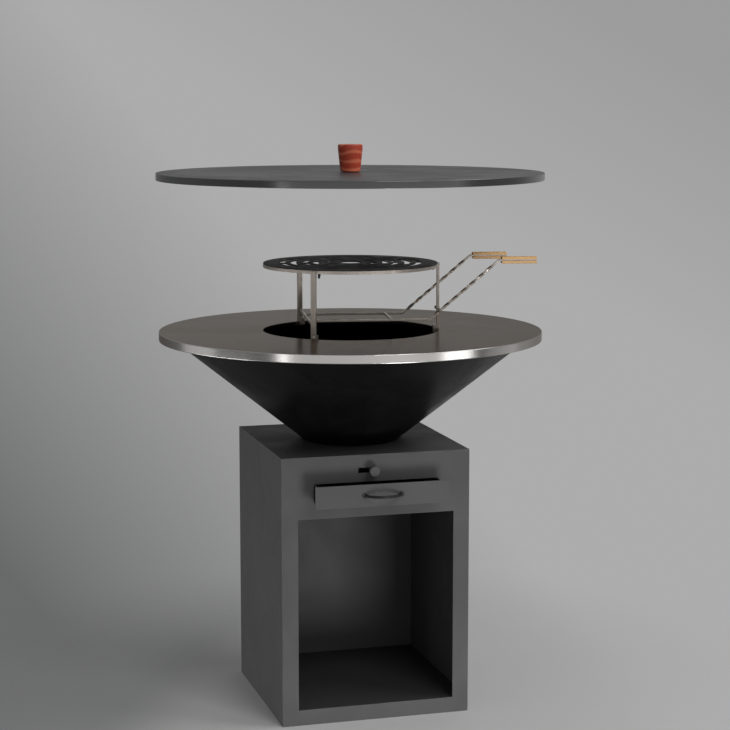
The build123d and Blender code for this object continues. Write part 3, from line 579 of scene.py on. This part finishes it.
def knob_wood(tree, place, colours):
    """Varnished reddish wood, with wavering bands round the knob."""
    lowered = vector_calc(tree, "ADD", place, (0.0, 0.0, 0.007))
    grain = use_group(
        tree, wood_grain, vector=lowered, band_scale=13.0, waver=5.5, fibre_scale=700.0
    )
    dark = calc(tree, "MULTIPLY", ranged(tree, grain["Bands"], 0.0, 0.45), 0.82)
    streaked = calc(tree, "MULTIPLY_ADD", grain["Fibres"], 0.18, dark)
    return {
        "Base Color": blended(tree, streaked, colours.knob, colours.knob_dark),
        "Roughness": between(tree, grain["Fibres"], 0.40, 0.52),
        "Coat Weight": 0.12,
        "Coat Roughness": 0.2,
        "Normal": bumped(tree, grain["Fibres"], distance=0.0002, strength=0.4),
    }


FINISHES = {
    wire.__name__: wire for wire in (
        cabinet_paint, bowl_paint, lid_paint, griddle_steel, bare_steel, plain_steel, black_iron,
        grip_oak, knob_wood,
    )
}
OWN_FINISHES = {
    "drawer_handle": pull_finish,
    "store_floor": store_floor_finish,
    "left_runner": runner_finish,
    "right_runner": runner_finish,
}


def finish_of(node):
    """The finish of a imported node, built at first need; most take the one of their slot."""
    key = node if node in OWN_FINISHES else SLOT_OF[node]
    name = f"{key}_finish"
    wire = OWN_FINISHES.get(node) or FINISHES[key]
    return bpy.data.materials.get(name) or new_finish(name, wire, bpy.context.scene.grill_colours)


# Pieces


def add_object(name, data):
    """Links a new object to the scene."""
    made = bpy.data.objects.new(name, data)
    bpy.context.scene.collection.objects.link(made)
    return made


def add_piece(name, mesh, *nodes):
    """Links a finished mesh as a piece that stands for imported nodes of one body."""
    mesh.materials.clear()
    mesh.materials.append(finish_of(nodes[0]))
    mesh.shade_smooth()
    mesh.set_sharp_from_angle(angle=SMOOTH_ANGLE)
    piece = add_object(name, mesh)
    piece.modifiers.new("Even flats", "WEIGHTED_NORMAL").keep_sharp = True
    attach(piece, BODY_OF[nodes[0]])
    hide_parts(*nodes)


def formed_mesh(name, form):
    """The mesh of a finished form, which is freed."""
    mesh = bpy.data.meshes.new(name)
    form.to_mesh(mesh)
    form.free()
    return mesh


def eased_mesh(name, source, ease):
    """A welded copy of a mesh with its sharp edges rounded and marked for the finishes."""
    form = bmesh.new()
    form.from_mesh(source)
    mark = form.faces.layers.float.new(EDGE_MARK)
    bmesh.ops.remove_doubles(form, verts=form.verts[:], dist=WELD_DISTANCE)
    bmesh.ops.dissolve_limit(
        form, angle_limit=FLAT_ANGLE, verts=form.verts[:], edges=form.edges[:]
    )
    sharp = [
        edge for edge in form.edges if edge.is_manifold and edge.calc_face_angle() > SHARP_ANGLE
    ]
    if ease > 0.0:
        rounded = bmesh.ops.bevel(
            form, geom=sharp, offset=ease, offset_type="OFFSET", segments=EASE_STEPS, profile=0.5,
            affect="EDGES", clamp_overlap=True,
        )
        for face in rounded["faces"]:
            face[mark] = 1.0
    return formed_mesh(name, form)


def ease_nodes(ease, *nodes):
    """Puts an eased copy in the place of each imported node."""
    for node in nodes:
        name = f"{node}_eased"
        add_piece(name, eased_mesh(name, NODES[node].data, ease), node)


def dress_nodes(*nodes):
    """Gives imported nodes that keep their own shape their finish."""
    for node in nodes:
        slots = NODES[node].data.materials
        slots.clear()
        slots.append(finish_of(node))


def rounded_outline(points, radius):
    """A closed outline whose corners are rounded, apart from those on the axis."""
    line = [Vector(point) for point in points]
    outline = []
    for before, corner, after in zip(line[-1:] + line[:-1], line, line[1:] + line[:1]):
        if corner.x < AXIS_RADIUS:
            outline.append(corner)
            continue
        back, on = before - corner, after - corner
        reach = min(radius, CORNER_REACH * back.length, CORNER_REACH * on.length)
        start = corner + back.normalized() * reach
        end = corner + on.normalized() * reach
        for step in range(CORNER_STEPS + 1):
            share = step / CORNER_STEPS
            outline.append(start.lerp(corner, share).lerp(corner.lerp(end, share), share))
    return outline


def turned_mesh(name, outline, steps, place):
    """A closed shell turned about Z from (radius, level) points; one on the axis is a pole."""
    form = bmesh.new()
    turns = [2 * math.pi * step / steps for step in range(steps)]
    columns = []
    for radius, level in outline:
        if radius < AXIS_RADIUS:
            columns.append([form.verts.new((0.0, 0.0, level))] * steps)
        else:
            columns.append([
                form.verts.new((radius * math.cos(turn), radius * math.sin(turn), level))
                for turn in turns
            ])
    for first, second in zip(columns, columns[1:] + columns[:1]):
        for step in range(steps):
            after = (step + 1) % steps
            corners = dict.fromkeys((first[step], first[after], second[after], second[step]))
            if len(corners) > 2:
                form.faces.new(list(corners))
    bmesh.ops.recalc_face_normals(form, faces=form.faces[:])
    bmesh.ops.transform(form, matrix=place, verts=form.verts[:])
    return formed_mesh(name, form)


def turn_piece(name, corners, ease, *nodes, steps=None, place=Matrix.Identity(4)):
    """Adds a piece turned from the rounded outline of its (radius, level) corners."""
    steps = steps or bpy.context.scene.grill_sizes.turning_steps
    add_piece(name, turned_mesh(name, rounded_outline(corners, ease), steps, place), *nodes)


def outer_radius(node):
    """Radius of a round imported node, kept inside the box of its facets."""
    low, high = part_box(node)
    return min(high.x, high.y, -low.x, -low.y)


def stand_box(node):
    """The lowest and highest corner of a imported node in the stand's own turned frame."""
    unturn = Matrix.Rotation(-bpy.context.scene.grill_sizes.stand_turn, 3, "Z")
    corners = [unturn @ vertex.co for vertex in NODES[node].data.vertices]
    low = Vector(min(corner[axis] for corner in corners) for axis in range(3))
    high = Vector(max(corner[axis] for corner in corners) for axis in range(3))
    return low, high


def loose_parts(node):
    """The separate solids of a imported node, each as a list of its corners."""
    form = bmesh.new()
    form.from_mesh(NODES[node].data)
    bmesh.ops.remove_doubles(form, verts=form.verts[:], dist=WELD_DISTANCE)
    waiting = set(form.verts)
    parts = []
    while waiting:
        reached = [waiting.pop()]
        part = []
        while reached:
            vertex = reached.pop()
            part.append(vertex.co.copy())
            near = {edge.other_vert(vertex) for edge in vertex.link_edges} & waiting
            waiting -= near
            reached += near
        parts.append(part)
    form.free()
    return parts


# Geometry node trees


def grown_mesh(name, tree, points, edges=(), marks=None, **values):
    """Runs a geometry tree on points, and keeps its result as a plain mesh."""
    seed = bpy.data.meshes.new(f"{name}_seed")
    seed.from_pydata(points, edges, [])
    if marks:
        facing = seed.attributes.new(FACING_MARK, "FLOAT_VECTOR", "POINT")
        facing.data.foreach_set("vector", [part for mark in marks for part in mark])
    base = add_object(f"{name}_base", seed)
    modifier = base.modifiers.new(tree.name, "NODES")
    modifier.node_group = tree
    sockets = tree.interface.items_tree
    identifiers = {item.name: item.identifier for item in sockets if item.in_out == "INPUT"}
    for word, value in values.items():
        modifier[identifiers[label_of(word)]] = value
    graph = bpy.context.evaluated_depsgraph_get()
    mesh = bpy.data.meshes.new_from_object(base.evaluated_get(graph), depsgraph=graph)
    mesh.name = name
    bpy.data.objects.remove(base)
    bpy.data.meshes.remove(seed)
    if not mesh.polygons:
        raise RuntimeError(f"{tree.name} made no faces for {name}")
    return mesh


def grow(tree, kind, inputs=None, **settings):
    """The first output of a new geometry node."""
    return put(tree, f"GeometryNode{kind}", inputs, **settings).outputs[0]


def filleted(tree, curve, steps, radius):
    """A curve with its corners rounded."""
    inputs = {"Curve": curve, "Count": steps, "Radius": radius, "Limit Radius": True}
    return grow(tree, "FilletCurve", inputs, mode="POLY")


def joined(tree, parts):
    """Several geometries as one."""
    node = put(tree, "GeometryNodeJoinGeometry")
    for part in parts:
        tree.links.new(part, node.inputs[0])
    return node.outputs[0]


def coated(tree, result, material):
    """The end of a tree: real geometry with its material."""
    real = grow(tree, "RealizeInstances", {"Geometry": result})
    return {"Geometry": grow(tree, "SetMaterial", {"Geometry": real, "Material": material})}


@geometry_group
def twisted_bar(
    tree, path: GEOMETRY, bar: FLOAT, corner: FLOAT, bend_radius: FLOAT, step: FLOAT,
    twist_start: FLOAT, twist_end: FLOAT, twist: FLOAT, material: MATERIAL,
):
    """A square bar along a path, twisted between two lengths of it."""
    curve = grow(tree, "MeshToCurve", {"Mesh": path})
    bent = filleted(tree, curve, steps=6, radius=bend_radius)
    even = grow(tree, "ResampleCurve", {"Curve": bent, "Length": step}, mode="LENGTH")
    upright = grow(tree, "SetCurveNormal", {"Curve": even}, mode="Z_UP")
    along = put(tree, "GeometryNodeSplineParameter").outputs["Length"]
    tilt = ranged(tree, along, twist_start, twist_end, 0.0, twist, kind="LINEAR")
    tilted = grow(tree, "SetCurveTilt", {"Curve": upright, "Tilt": tilt})
    square = grow(tree, "CurvePrimitiveQuadrilateral", {"Width": bar, "Height": bar})
    profile = filleted(tree, square, steps=2, radius=corner)
    inputs = {"Curve": tilted, "Profile Curve": profile, "Fill Caps": True}
    return coated(tree, grow(tree, "CurveToMesh", inputs), material)


@geometry_group
def slot_ring(tree, radius: FLOAT, slot: FLOAT, web: FLOAT, count: COUNT, start: FLOAT):
    """The outlines of one ring of curved slots with round ends."""
    step = calc(tree, "DIVIDE", 2 * math.pi, count)
    long = calc(tree, "SUBTRACT", calc(tree, "MULTIPLY", step, radius), web)
    straight = grow(tree, "CurvePrimitiveQuadrilateral", {"Width": long, "Height": slot})
    end_radius = calc(tree, "MULTIPLY", slot, SLOT_END_SHARE)
    ended = filleted(tree, straight, steps=6, radius=end_radius)
    fine = grow(tree, "ResampleCurve", {"Curve": ended, "Count": 80}, mode="COUNT")
    spot = put(tree, "ShaderNodeSeparateXYZ", {0: grow(tree, "InputPosition")}).outputs
    turn = calc(tree, "DIVIDE", spot["X"], radius)
    reach = calc(tree, "ADD", spot["Y"], radius)
    round_spot = triple(
        tree,
        X=calc(tree, "MULTIPLY", reach, calc(tree, "COSINE", turn)),
        Y=calc(tree, "MULTIPLY", reach, calc(tree, "SINE", turn)),
    )
    curved = grow(tree, "SetPosition", {"Geometry": fine, "Position": round_spot})
    places = grow(tree, "Points", {"Count": count})
    stepped = calc(tree, "MULTIPLY", grow(tree, "InputIndex"), step)
    facing = triple(tree, Z=calc(tree, "ADD", stepped, start))
    inputs = {"Points": places, "Instance": curved, "Rotation": facing}
    copies = grow(tree, "InstanceOnPoints", inputs)
    return {"Outlines": grow(tree, "RealizeInstances", {"Geometry": copies})}


@geometry_group
def pierced_plate(
    tree, geometry: GEOMETRY, plate_radius: FLOAT, eye_radius: FLOAT, first_ring: FLOAT,
    ring_pitch: FLOAT, slot: FLOAT, web: FLOAT, slots: COUNT, thickness: FLOAT, level: FLOAT,
    turn: FLOAT, material: MATERIAL, rings,
):
    """A round plate with an eye and rings of slots, staggered from ring to ring."""
    outlines = [
        grow(tree, "CurvePrimitiveCircle", {"Resolution": 192, "Radius": plate_radius}),
        grow(tree, "CurvePrimitiveCircle", {"Resolution": 64, "Radius": eye_radius}),
    ]
    half_step = calc(tree, "DIVIDE", math.pi, slots)
    for ring in range(rings):
        radius = calc(tree, "MULTIPLY_ADD", ring_pitch, float(ring), first_ring)
        start = calc(tree, "MULTIPLY", half_step, float(1 + ring % 2))
        inputs = {"Radius": radius, "Slot": slot, "Web": web, "Count": slots, "Start": start}
        outlines.append(grow(tree, "Group", inputs, node_tree=slot_ring()))
    face = grow(tree, "FillCurve", {"Curve": joined(tree, outlines)}, mode="TRIANGLES")
    raised = grow(tree, "ExtrudeMesh", {
        "Mesh": face, "Offset": triple(tree, Z=thickness), "Offset Scale": 1.0,
        "Individual": False,
    }, mode="FACES")
    solid = joined(tree, [raised, grow(tree, "FlipFaces", {"Mesh": face})])
    closed = grow(tree, "MergeByDistance", {"Geometry": solid, "Distance": MERGE_DISTANCE})
    set_down = grow(tree, "Transform", {
        "Geometry": closed, "Translation": triple(tree, Z=level), "Rotation": triple(tree, Z=turn)
    })
    return coated(tree, set_down, material)


@geometry_group
def rivet_heads(tree, points: GEOMETRY, head_radius: FLOAT, dome: FLOAT, material: MATERIAL):
    """Domed heads on points, each facing the way its point is marked."""
    ball = grow(tree, "MeshUVSphere", {"Segments": 24, "Rings": 12, "Radius": 1.0})
    shape = triple(tree, X=head_radius, Y=head_radius, Z=dome)
    head = grow(tree, "Transform", {"Geometry": ball, "Scale": shape})
    facing = grow(tree, "InputNamedAttribute", {"Name": FACING_MARK}, data_type="FLOAT_VECTOR")
    turn = put(tree, "FunctionNodeAlignRotationToVector", {"Vector": facing}, axis="Z").outputs[0]
    inputs = {"Points": points, "Instance": head, "Rotation": turn}
    return coated(tree, grow(tree, "InstanceOnPoints", inputs), material)


# Operators, one for each piece or group of like pieces


class GRILL_OT_cabinet(Operator):
    """Ease the cabinet's sheets and finish its inner fittings"""

    bl_idname = "grill.cabinet"
    bl_label = "Cabinet"

    def execute(self, context):
        ease_nodes(
            context.scene.grill_sizes.sheet_ease,
            "front_panel", "left_side_panel", "right_side_panel", "back_panel", "top_plate",
        )
        dress_nodes(
            "store_floor", "drawer_shelf", "left_runner", "right_runner", "bowl_base",
            "front_damper_guide", "rear_damper_guide", "guide_rivets",
        )
        return {"FINISHED"}


class GRILL_OT_ash_drawer(Operator):
    """Ease the ash drawer's front and tray, and smooth its pull"""

    bl_idname = "grill.ash_drawer"
    bl_label = "Ash drawer"

    def execute(self, context):
        sizes = context.scene.grill_sizes
        ease_nodes(sizes.sheet_ease, "drawer_front")
        ease_nodes(sizes.tray_ease, "drawer_tray")
        ease_nodes(0.0, "drawer_handle")
        dress_nodes("handle_nuts")
        return {"FINISHED"}


class GRILL_OT_air_damper(Operator):
    """Turn the damper's knob and finish its gate and rod"""

    bl_idname = "grill.air_damper"
    bl_label = "Air damper"

    def execute(self, context):
        low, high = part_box("damper_knob")
        radius, depth = (high.x - low.x) / 2, high.y - low.y
        middle = Vector(((low.x + high.x) / 2, high.y, (low.z + high.z) / 2))
        turn_piece(
            "damper_knob_turned", [(0, 0), (radius, 0), (radius, depth), (0, depth)],
            context.scene.grill_sizes.damper_knob_round, "damper_knob", steps=DAMPER_KNOB_STEPS,
            place=Matrix.Translation(middle) @ Matrix.Rotation(math.radians(90), 4, "X"),
        )
        ease_nodes(0.0, "damper_rod")
        dress_nodes("damper_gate")
        return {"FINISHED"}


class GRILL_OT_fire_bowl(Operator):
    """Turn the fire bowl and ease the ember grate in it"""

    bl_idname = "grill.fire_bowl"
    bl_label = "Fire bowl"

    def execute(self, context):
        sizes = context.scene.grill_sizes
        low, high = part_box("fire_bowl")
        base, rim, run = sizes.bowl_base_radius, outer_radius("fire_bowl"), sizes.bowl_wall_run
        under = high.z - sizes.bowl_sheet
        inner = base + (rim - base) * (under - low.z) / (high.z - low.z) - run
        corners = [
            (base, low.z), (rim, high.z), (rim - sizes.bowl_flange, high.z),
            (rim - sizes.bowl_flange, under), (inner, under), (base - run, low.z),
        ]
        turn_piece("fire_bowl_turned", corners, sizes.sheet_ease, "fire_bowl")
        ease_nodes(sizes.plate_ease, "ember_grate")
        return {"FINISHED"}


class GRILL_OT_griddle(Operator):
    """Turn the ring griddle with its rounded edge"""

    bl_idname = "grill.griddle"
    bl_label = "Griddle"

    def execute(self, context):
        sizes = context.scene.grill_sizes
        low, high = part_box("griddle_plate")
        hole, rim = sizes.griddle_hole_radius, outer_radius("griddle_plate")
        lip = rim - sizes.griddle_lip
        under = high.z - sizes.griddle_plate
        corners = [
            (hole, under), (lip, under), (lip, low.z), (rim, low.z), (rim, high.z), (hole, high.z)
        ]
        turn_piece("griddle_turned", corners, sizes.griddle_round, "griddle_plate")
        ease_nodes(sizes.plate_ease, "griddle_lugs")
        return {"FINISHED"}


class GRILL_OT_grate_stand(Operator):
    """Ease the stand's legs and bars, and turn the band on top of them"""

    bl_idname = "grill.grate_stand"
    bl_label = "Grate stand"

    def execute(self, context):
        sizes = context.scene.grill_sizes
        low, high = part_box("stand_band")
        outer = outer_radius("stand_band")
        inner = outer - sizes.band_thick
        corners = [(inner, low.z), (outer, low.z), (outer, high.z), (inner, high.z)]
        turn_piece("stand_band_turned", corners, sizes.bar_ease, "stand_band")
        ease_nodes(
            sizes.bar_ease, "right_leg", "front_leg", "rear_leg", "foot_hooks", "cross_bar",
            "rail_tie", "handle_yoke",
        )
        ease_nodes(
            sizes.tray_ease, "front_tang", "rear_tang", "front_grip_upper", "front_grip_lower",
            "rear_grip_upper", "rear_grip_lower",
        )
        return {"FINISHED"}


class GRILL_OT_twisted_handles(Operator):
    """Bend each rail up into its twisted rod, as one bar"""

    bl_idname = "grill.twisted_handles"
    bl_label = "Twisted handles"

    def execute(self, context):
        sizes = context.scene.grill_sizes
        turn = Matrix.Rotation(sizes.stand_turn, 3, "Z")
        for side in ("front", "rear"):
            low, high = stand_box(f"{side}_rail")
            tang_low, tang_high = stand_box(f"{side}_tang")
            bar = high.y - low.y
            middle = (low + high) / 2
            bend_x = high.x - bar / 2 * math.tan(sizes.rod_slope / 2)
            path = [
                Vector((low.x, middle.y, middle.z)),
                Vector((bend_x, middle.y, middle.z)),
                Vector((tang_low.x, middle.y, (tang_low.z + tang_high.z) / 2)),
            ]
            rail, rod = (path[1] - path[0]).length, (path[2] - path[1]).length
            name = f"{side}_handle_bar"
            mesh = grown_mesh(
                name, twisted_bar(), [turn @ point for point in path], edges=[(0, 1), (1, 2)],
                bar=bar, corner=sizes.bar_ease, bend_radius=sizes.bend_radius, step=BAR_STEP,
                twist_start=rail + sizes.rod_plain, twist_end=rail + rod - sizes.rod_plain,
                twist=2 * math.pi * sizes.rod_turns, material=finish_of(f"{side}_rail"),
            )
            add_piece(name, mesh, f"{side}_rail", f"{side}_twisted_rod")
        return {"FINISHED"}


class GRILL_OT_rivets(Operator):
    """Set domed heads on the stand's rivets and flat ones on the grips'"""

    bl_idname = "grill.rivets"
    bl_label = "Rivets"

    def execute(self, context):
        sizes = context.scene.grill_sizes
        self.set_heads("leg_rivets", self.outwards, sizes.rivet_dome)
        self.set_heads("grip_rivets", self.upwards, sizes.grip_rivet_dome)
        return {"FINISHED"}

    def set_heads(self, node, facing_of, dome):
        """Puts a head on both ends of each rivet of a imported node."""
        points, facings, radius = [], [], 0.0
        for part in loose_parts(node):
            middle = sum(part, Vector()) / len(part)
            along = facing_of(middle)
            offsets = [corner - middle for corner in part]
            ends = [offset.dot(along) for offset in offsets]
            radius = max((offset - along * end).length for offset, end in zip(offsets, ends))
            points += [middle + along * (max(ends) - dome), middle + along * (min(ends) + dome)]
            facings += [along, -along]
        name = f"{node}_heads"
        mesh = grown_mesh(
            name, rivet_heads(), points, marks=facings, head_radius=radius, dome=dome,
            material=finish_of(node),
        )
        add_piece(name, mesh, node)

    @staticmethod
    def outwards(middle):
        return Vector((middle.x, middle.y, 0.0)).normalized()

    @staticmethod
    def upwards(middle):
        return UP


class GRILL_OT_cooking_grate(Operator):
    """Pierce the cooking grate with rings of slots and ease its lugs"""

    bl_idname = "grill.cooking_grate"
    bl_label = "Cooking grate"

    def execute(self, context):
        sizes = context.scene.grill_sizes
        low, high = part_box("cooking_grate")
        name = "cooking_grate_pierced"
        plate = grown_mesh(
            name, pierced_plate(sizes.grate_rings), [(0.0, 0.0, 0.0)],
            plate_radius=outer_radius("cooking_grate"), eye_radius=sizes.grate_eye_radius,
            first_ring=sizes.grate_ring_first, ring_pitch=sizes.grate_ring_pitch,
            slot=sizes.grate_slot, web=sizes.grate_web, slots=sizes.grate_slots,
            thickness=high.z - low.z, level=low.z, turn=sizes.stand_turn,
            material=finish_of("cooking_grate"),
        )
        add_piece(name, eased_mesh(name, plate, sizes.plate_ease), "cooking_grate")
        bpy.data.meshes.remove(plate)
        ease_nodes(sizes.tray_ease, "grate_lugs")
        return {"FINISHED"}


class GRILL_OT_lid(Operator):
    """Turn the lid's sheet and skirt as one shell"""

    bl_idname = "grill.lid"
    bl_label = "Lid"

    def execute(self, context):
        sizes = context.scene.grill_sizes
        top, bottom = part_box("lid_sheet")[1].z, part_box("lid_skirt")[0].z
        radius, sheet = outer_radius("lid_skirt"), sizes.lid_sheet
        corners = [
            (0.0, top), (radius, top), (radius, bottom), (radius - sheet, bottom),
            (radius - sheet, top - sheet), (0.0, top - sheet),
        ]
        turn_piece("lid_shell", corners, sizes.lid_round, "lid_sheet", "lid_skirt")
        ease_nodes(sizes.tray_ease, "knob_washer")
        dress_nodes("knob_screw")
        return {"FINISHED"}


class GRILL_OT_lid_knob(Operator):
    """Turn the lid's wooden knob"""

    bl_idname = "grill.lid_knob"
    bl_label = "Lid knob"

    def execute(self, context):
        sizes = context.scene.grill_sizes
        low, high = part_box("lid_knob")
        radius = outer_radius("lid_knob")
        corners = [
            (0.0, low.z), (sizes.knob_base_radius, low.z), (radius, high.z - sizes.knob_collar),
            (radius, high.z), (0.0, high.z),
        ]
        turn_piece("lid_knob_turned", corners, sizes.knob_round, "lid_knob", steps=LID_KNOB_STEPS)
        return {"FINISHED"}


# Studio

LAMP_TARGET = Vector((0.0, 0.0, 0.6))
LAMP_SIZES_AND_PLACES = {
    "key": ((2.0, 1.5), (1.0, -3.9, 4.3)),
    "top": ((2.0, 2.0), (2.6, -1.2, 3.6)),
    "under": ((1.0, 0.9), (0.7, -2.9, -0.6)),
    "left": ((1.6, 0.5), (-2.2, 0.0, 0.15)),
    "front": ((14.0, 1.9), (0.0, -5.4, 0.35)),
    "edge": ((2.2, 0.5), (4.75, -4.3, 0.12)),
    "glint": ((0.5, 2.0), (-5.1, -3.78, 0.1)),
    "left_rear": ((2.0, 0.9), (-3.6, 1.4, 0.45)),
    "right": ((2.0, 0.9), (3.8, -0.65, 0.45)),
}
# Direction and span of the painted shadow on the floor, at the left and behind the grill.
FLOOR_SIDE = (1.0, -0.6, 0.0)
FLOOR_PAINTED_SHADOW_SPAN = (-0.66, -0.34)
FRONT = (0.0, -1.0, 0.0)
# How far a view leans to a corner, up, ahead or to the front where a shade begins and ends
SHADE_SPAN = (0.0, 0.205)
DIM_SPAN = (0.08, 0.22)
DIM_SHARE = 0.30
LOW_SPAN = (0.12, 0.35)
AHEAD_SPAN = (0.80, 0.95)
LEVEL_SPAN = (-0.11, -0.07)
LEVEL_GAIN = 0.4
UNLIT_SPAN = (-0.15, 0.35)


def floor_finish(tree, place, studio):
    """Matt floor with a painted shadow at the left and behind, away from the lamps, that fades out
    round the grill.
    """
    side = vector_calc(tree, "DOT_PRODUCT", place, FLOOR_SIDE)
    painted_shadow_share = ranged(tree, side, *FLOOR_PAINTED_SHADOW_SPAN, 1.0, 0.0)
    away = vector_calc(tree, "LENGTH", place)
    return {
        "Base Color": blended(tree, painted_shadow_share, studio.floor, studio.floor_shade),
        "Roughness": 0.7,
        "Alpha": ranged(tree, away, studio.floor_clear, studio.floor_radius, 1.0, 0.0),
    }


class GRILL_OT_stage(Operator):
    """Set up the floor, the backdrop, the lamps and the camera"""

    bl_idname = "grill.stage"
    bl_label = "Studio"

    def execute(self, context):
        studio = context.scene.grill_studio
        self.lay_floor(studio)
        self.paint_backdrop(context, studio)
        for name, (size, place) in LAMP_SIZES_AND_PLACES.items():
            self.hang_lamp(f"{name}_lamp", getattr(studio, f"{name}_power"), size, place)
        self.set_camera(context, studio)
        context.scene.view_settings.view_transform = "Standard"
        return {"FINISHED"}

    def lay_floor(self, studio):
        """A pale disc that keeps the shadow and fades into the backdrop."""
        form = bmesh.new()
        bmesh.ops.create_circle(
            form, cap_ends=True, radius=studio.floor_radius, segments=FLOOR_STEPS
        )
        floor = add_object("studio_floor", formed_mesh("studio_floor", form))
        floor.data.materials.append(new_finish("studio_floor", floor_finish, studio))
        floor.visible_shadow = False

    def paint_backdrop(self, context, studio):
        """A backdrop with two darker corners, and a room that is dark before the grill."""
        world = bpy.data.worlds.new("studio_room")
        world.use_nodes = True
        tree = world.node_tree
        tree.nodes.clear()
        look = Vector(studio.camera_look).normalized()
        right = look.cross(UP).normalized()
        down = look.cross(right)
        lower_left = right * -0.75 + down * 0.65
        upper_right = right * 0.50 - down * 0.87
        view = put(tree, "ShaderNodeTexCoord").outputs["Generated"]
        level = put(tree, "ShaderNodeSeparateXYZ", {0: view}).outputs["Z"]
        rays = put(tree, "ShaderNodeLightPath").outputs
        toward = vector_calc(tree, "DOT_PRODUCT", view, lower_left)
        raised = vector_calc(tree, "DOT_PRODUCT", view, upper_right)
        ahead = vector_calc(tree, "DOT_PRODUCT", view, look)
        before = vector_calc(tree, "DOT_PRODUCT", view, FRONT)
        shade = ranged(tree, toward, *SHADE_SPAN, kind="LINEAR")
        dimmed = ranged(tree, raised, *DIM_SPAN, 0.0, DIM_SHARE, kind="LINEAR")
        low = ranged(tree, level, *LOW_SPAN, 1.0, 0.0)
        in_sight = ranged(tree, ahead, *AHEAD_SPAN)
        kept = blended_value(tree, rays["Is Camera Ray"], low, in_sight)
        shade = calc(tree, "MULTIPLY", calc(tree, "MAXIMUM", shade, dimmed), kept)
        backdrop = blended(tree, shade, studio.backdrop, studio.backdrop_dark)
        wide = calc(tree, "ADD", before, ranged(tree, level, *LEVEL_SPAN, 0.0, LEVEL_GAIN))
        unlit = calc(tree, "MULTIPLY", ranged(tree, wide, *UNLIT_SPAN), low)
        mirrored = calc(tree, "MULTIPLY", unlit, rays["Is Glossy Ray"])
        room = blended(tree, mirrored, backdrop, studio.room_dark)
        seen = put(tree, "ShaderNodeBackground", {"Color": room, "Strength": 1.0})
        even = put(tree, "ShaderNodeBackground", {
            "Color": (1.0, 1.0, 1.0, 1.0), "Strength": studio.sky})
        shown = calc(tree, "MAXIMUM", rays["Is Camera Ray"], rays["Is Glossy Ray"])
        mixed = put(tree, "ShaderNodeMixShader", {
            0: shown, 1: even.outputs[0], 2: seen.outputs[0]})
        put(tree, "ShaderNodeOutputWorld", {"Surface": mixed.outputs[0]})
        context.scene.world = world

    def hang_lamp(self, name, watts, size, place):
        light = bpy.data.lights.new(name, "AREA")
        light.energy = watts
        light.shape = "RECTANGLE"
        light.size, light.size_y = size
        lamp = add_object(name, light)
        lamp.visible_camera = False
        lamp.location = place
        aim = LAMP_TARGET - Vector(place)
        lamp.rotation_euler = aim.to_track_quat("-Z", "Y").to_euler()

    def set_camera(self, context, studio):
        data = bpy.data.cameras.new("camera")
        data.lens = studio.lens
        data.sensor_width = SENSOR_WIDTH
        camera = add_object("camera", data)
        camera.location = studio.camera_place
        camera.rotation_euler = Vector(studio.camera_look).to_track_quat("-Z", "Y").to_euler()
        context.scene.camera = camera


PIECES = (
    GRILL_OT_cabinet,
    GRILL_OT_ash_drawer,
    GRILL_OT_air_damper,
    GRILL_OT_fire_bowl,
    GRILL_OT_griddle,
    GRILL_OT_grate_stand,
    GRILL_OT_twisted_handles,
    GRILL_OT_rivets,
    GRILL_OT_cooking_grate,
    GRILL_OT_lid,
    GRILL_OT_lid_knob,
    GRILL_OT_stage,
)


class GRILL_PT_sidebar(Panel):
    """The grill's settings, and a button for each of its pieces"""

    bl_idname = "GRILL_PT_sidebar"
    bl_label = "Fire-bowl grill"
    bl_space_type = "VIEW_3D"
    bl_region_type = "UI"
    bl_category = "Grill"

    def draw(self, context):
        scene = context.scene
        for group in (scene.grill_sizes, scene.grill_colours, scene.grill_studio):
            column = self.layout.box().column()
            for name in group.bl_rna.properties.keys():
                if name not in {"rna_type", "name"}:
                    column.prop(group, name)
        for piece in PIECES:
            self.layout.operator(piece.bl_idname)


CLASSES = (GrillSizes, GrillColours, GrillStudio, *PIECES, GRILL_PT_sidebar)


def register():
    for kind in CLASSES:
        bpy.utils.register_class(kind)
    bpy.types.Scene.grill_sizes = PointerProperty(type=GrillSizes)
    bpy.types.Scene.grill_colours = PointerProperty(type=GrillColours)
    bpy.types.Scene.grill_studio = PointerProperty(type=GrillStudio)


def unregister():
    del bpy.types.Scene.grill_studio
    del bpy.types.Scene.grill_colours
    del bpy.types.Scene.grill_sizes
    for kind in reversed(CLASSES):
        bpy.utils.unregister_class(kind)


def main():
    register()
    bpy.ops.grill.cabinet()
    bpy.ops.grill.ash_drawer()
    bpy.ops.grill.air_damper()
    bpy.ops.grill.fire_bowl()
    bpy.ops.grill.griddle()
    bpy.ops.grill.grate_stand()
    bpy.ops.grill.twisted_handles()
    bpy.ops.grill.rivets()
    bpy.ops.grill.cooking_grate()
    bpy.ops.grill.lid()
    bpy.ops.grill.lid_knob()
    bpy.ops.grill.stage()


if __name__ == "__main__":
    main()
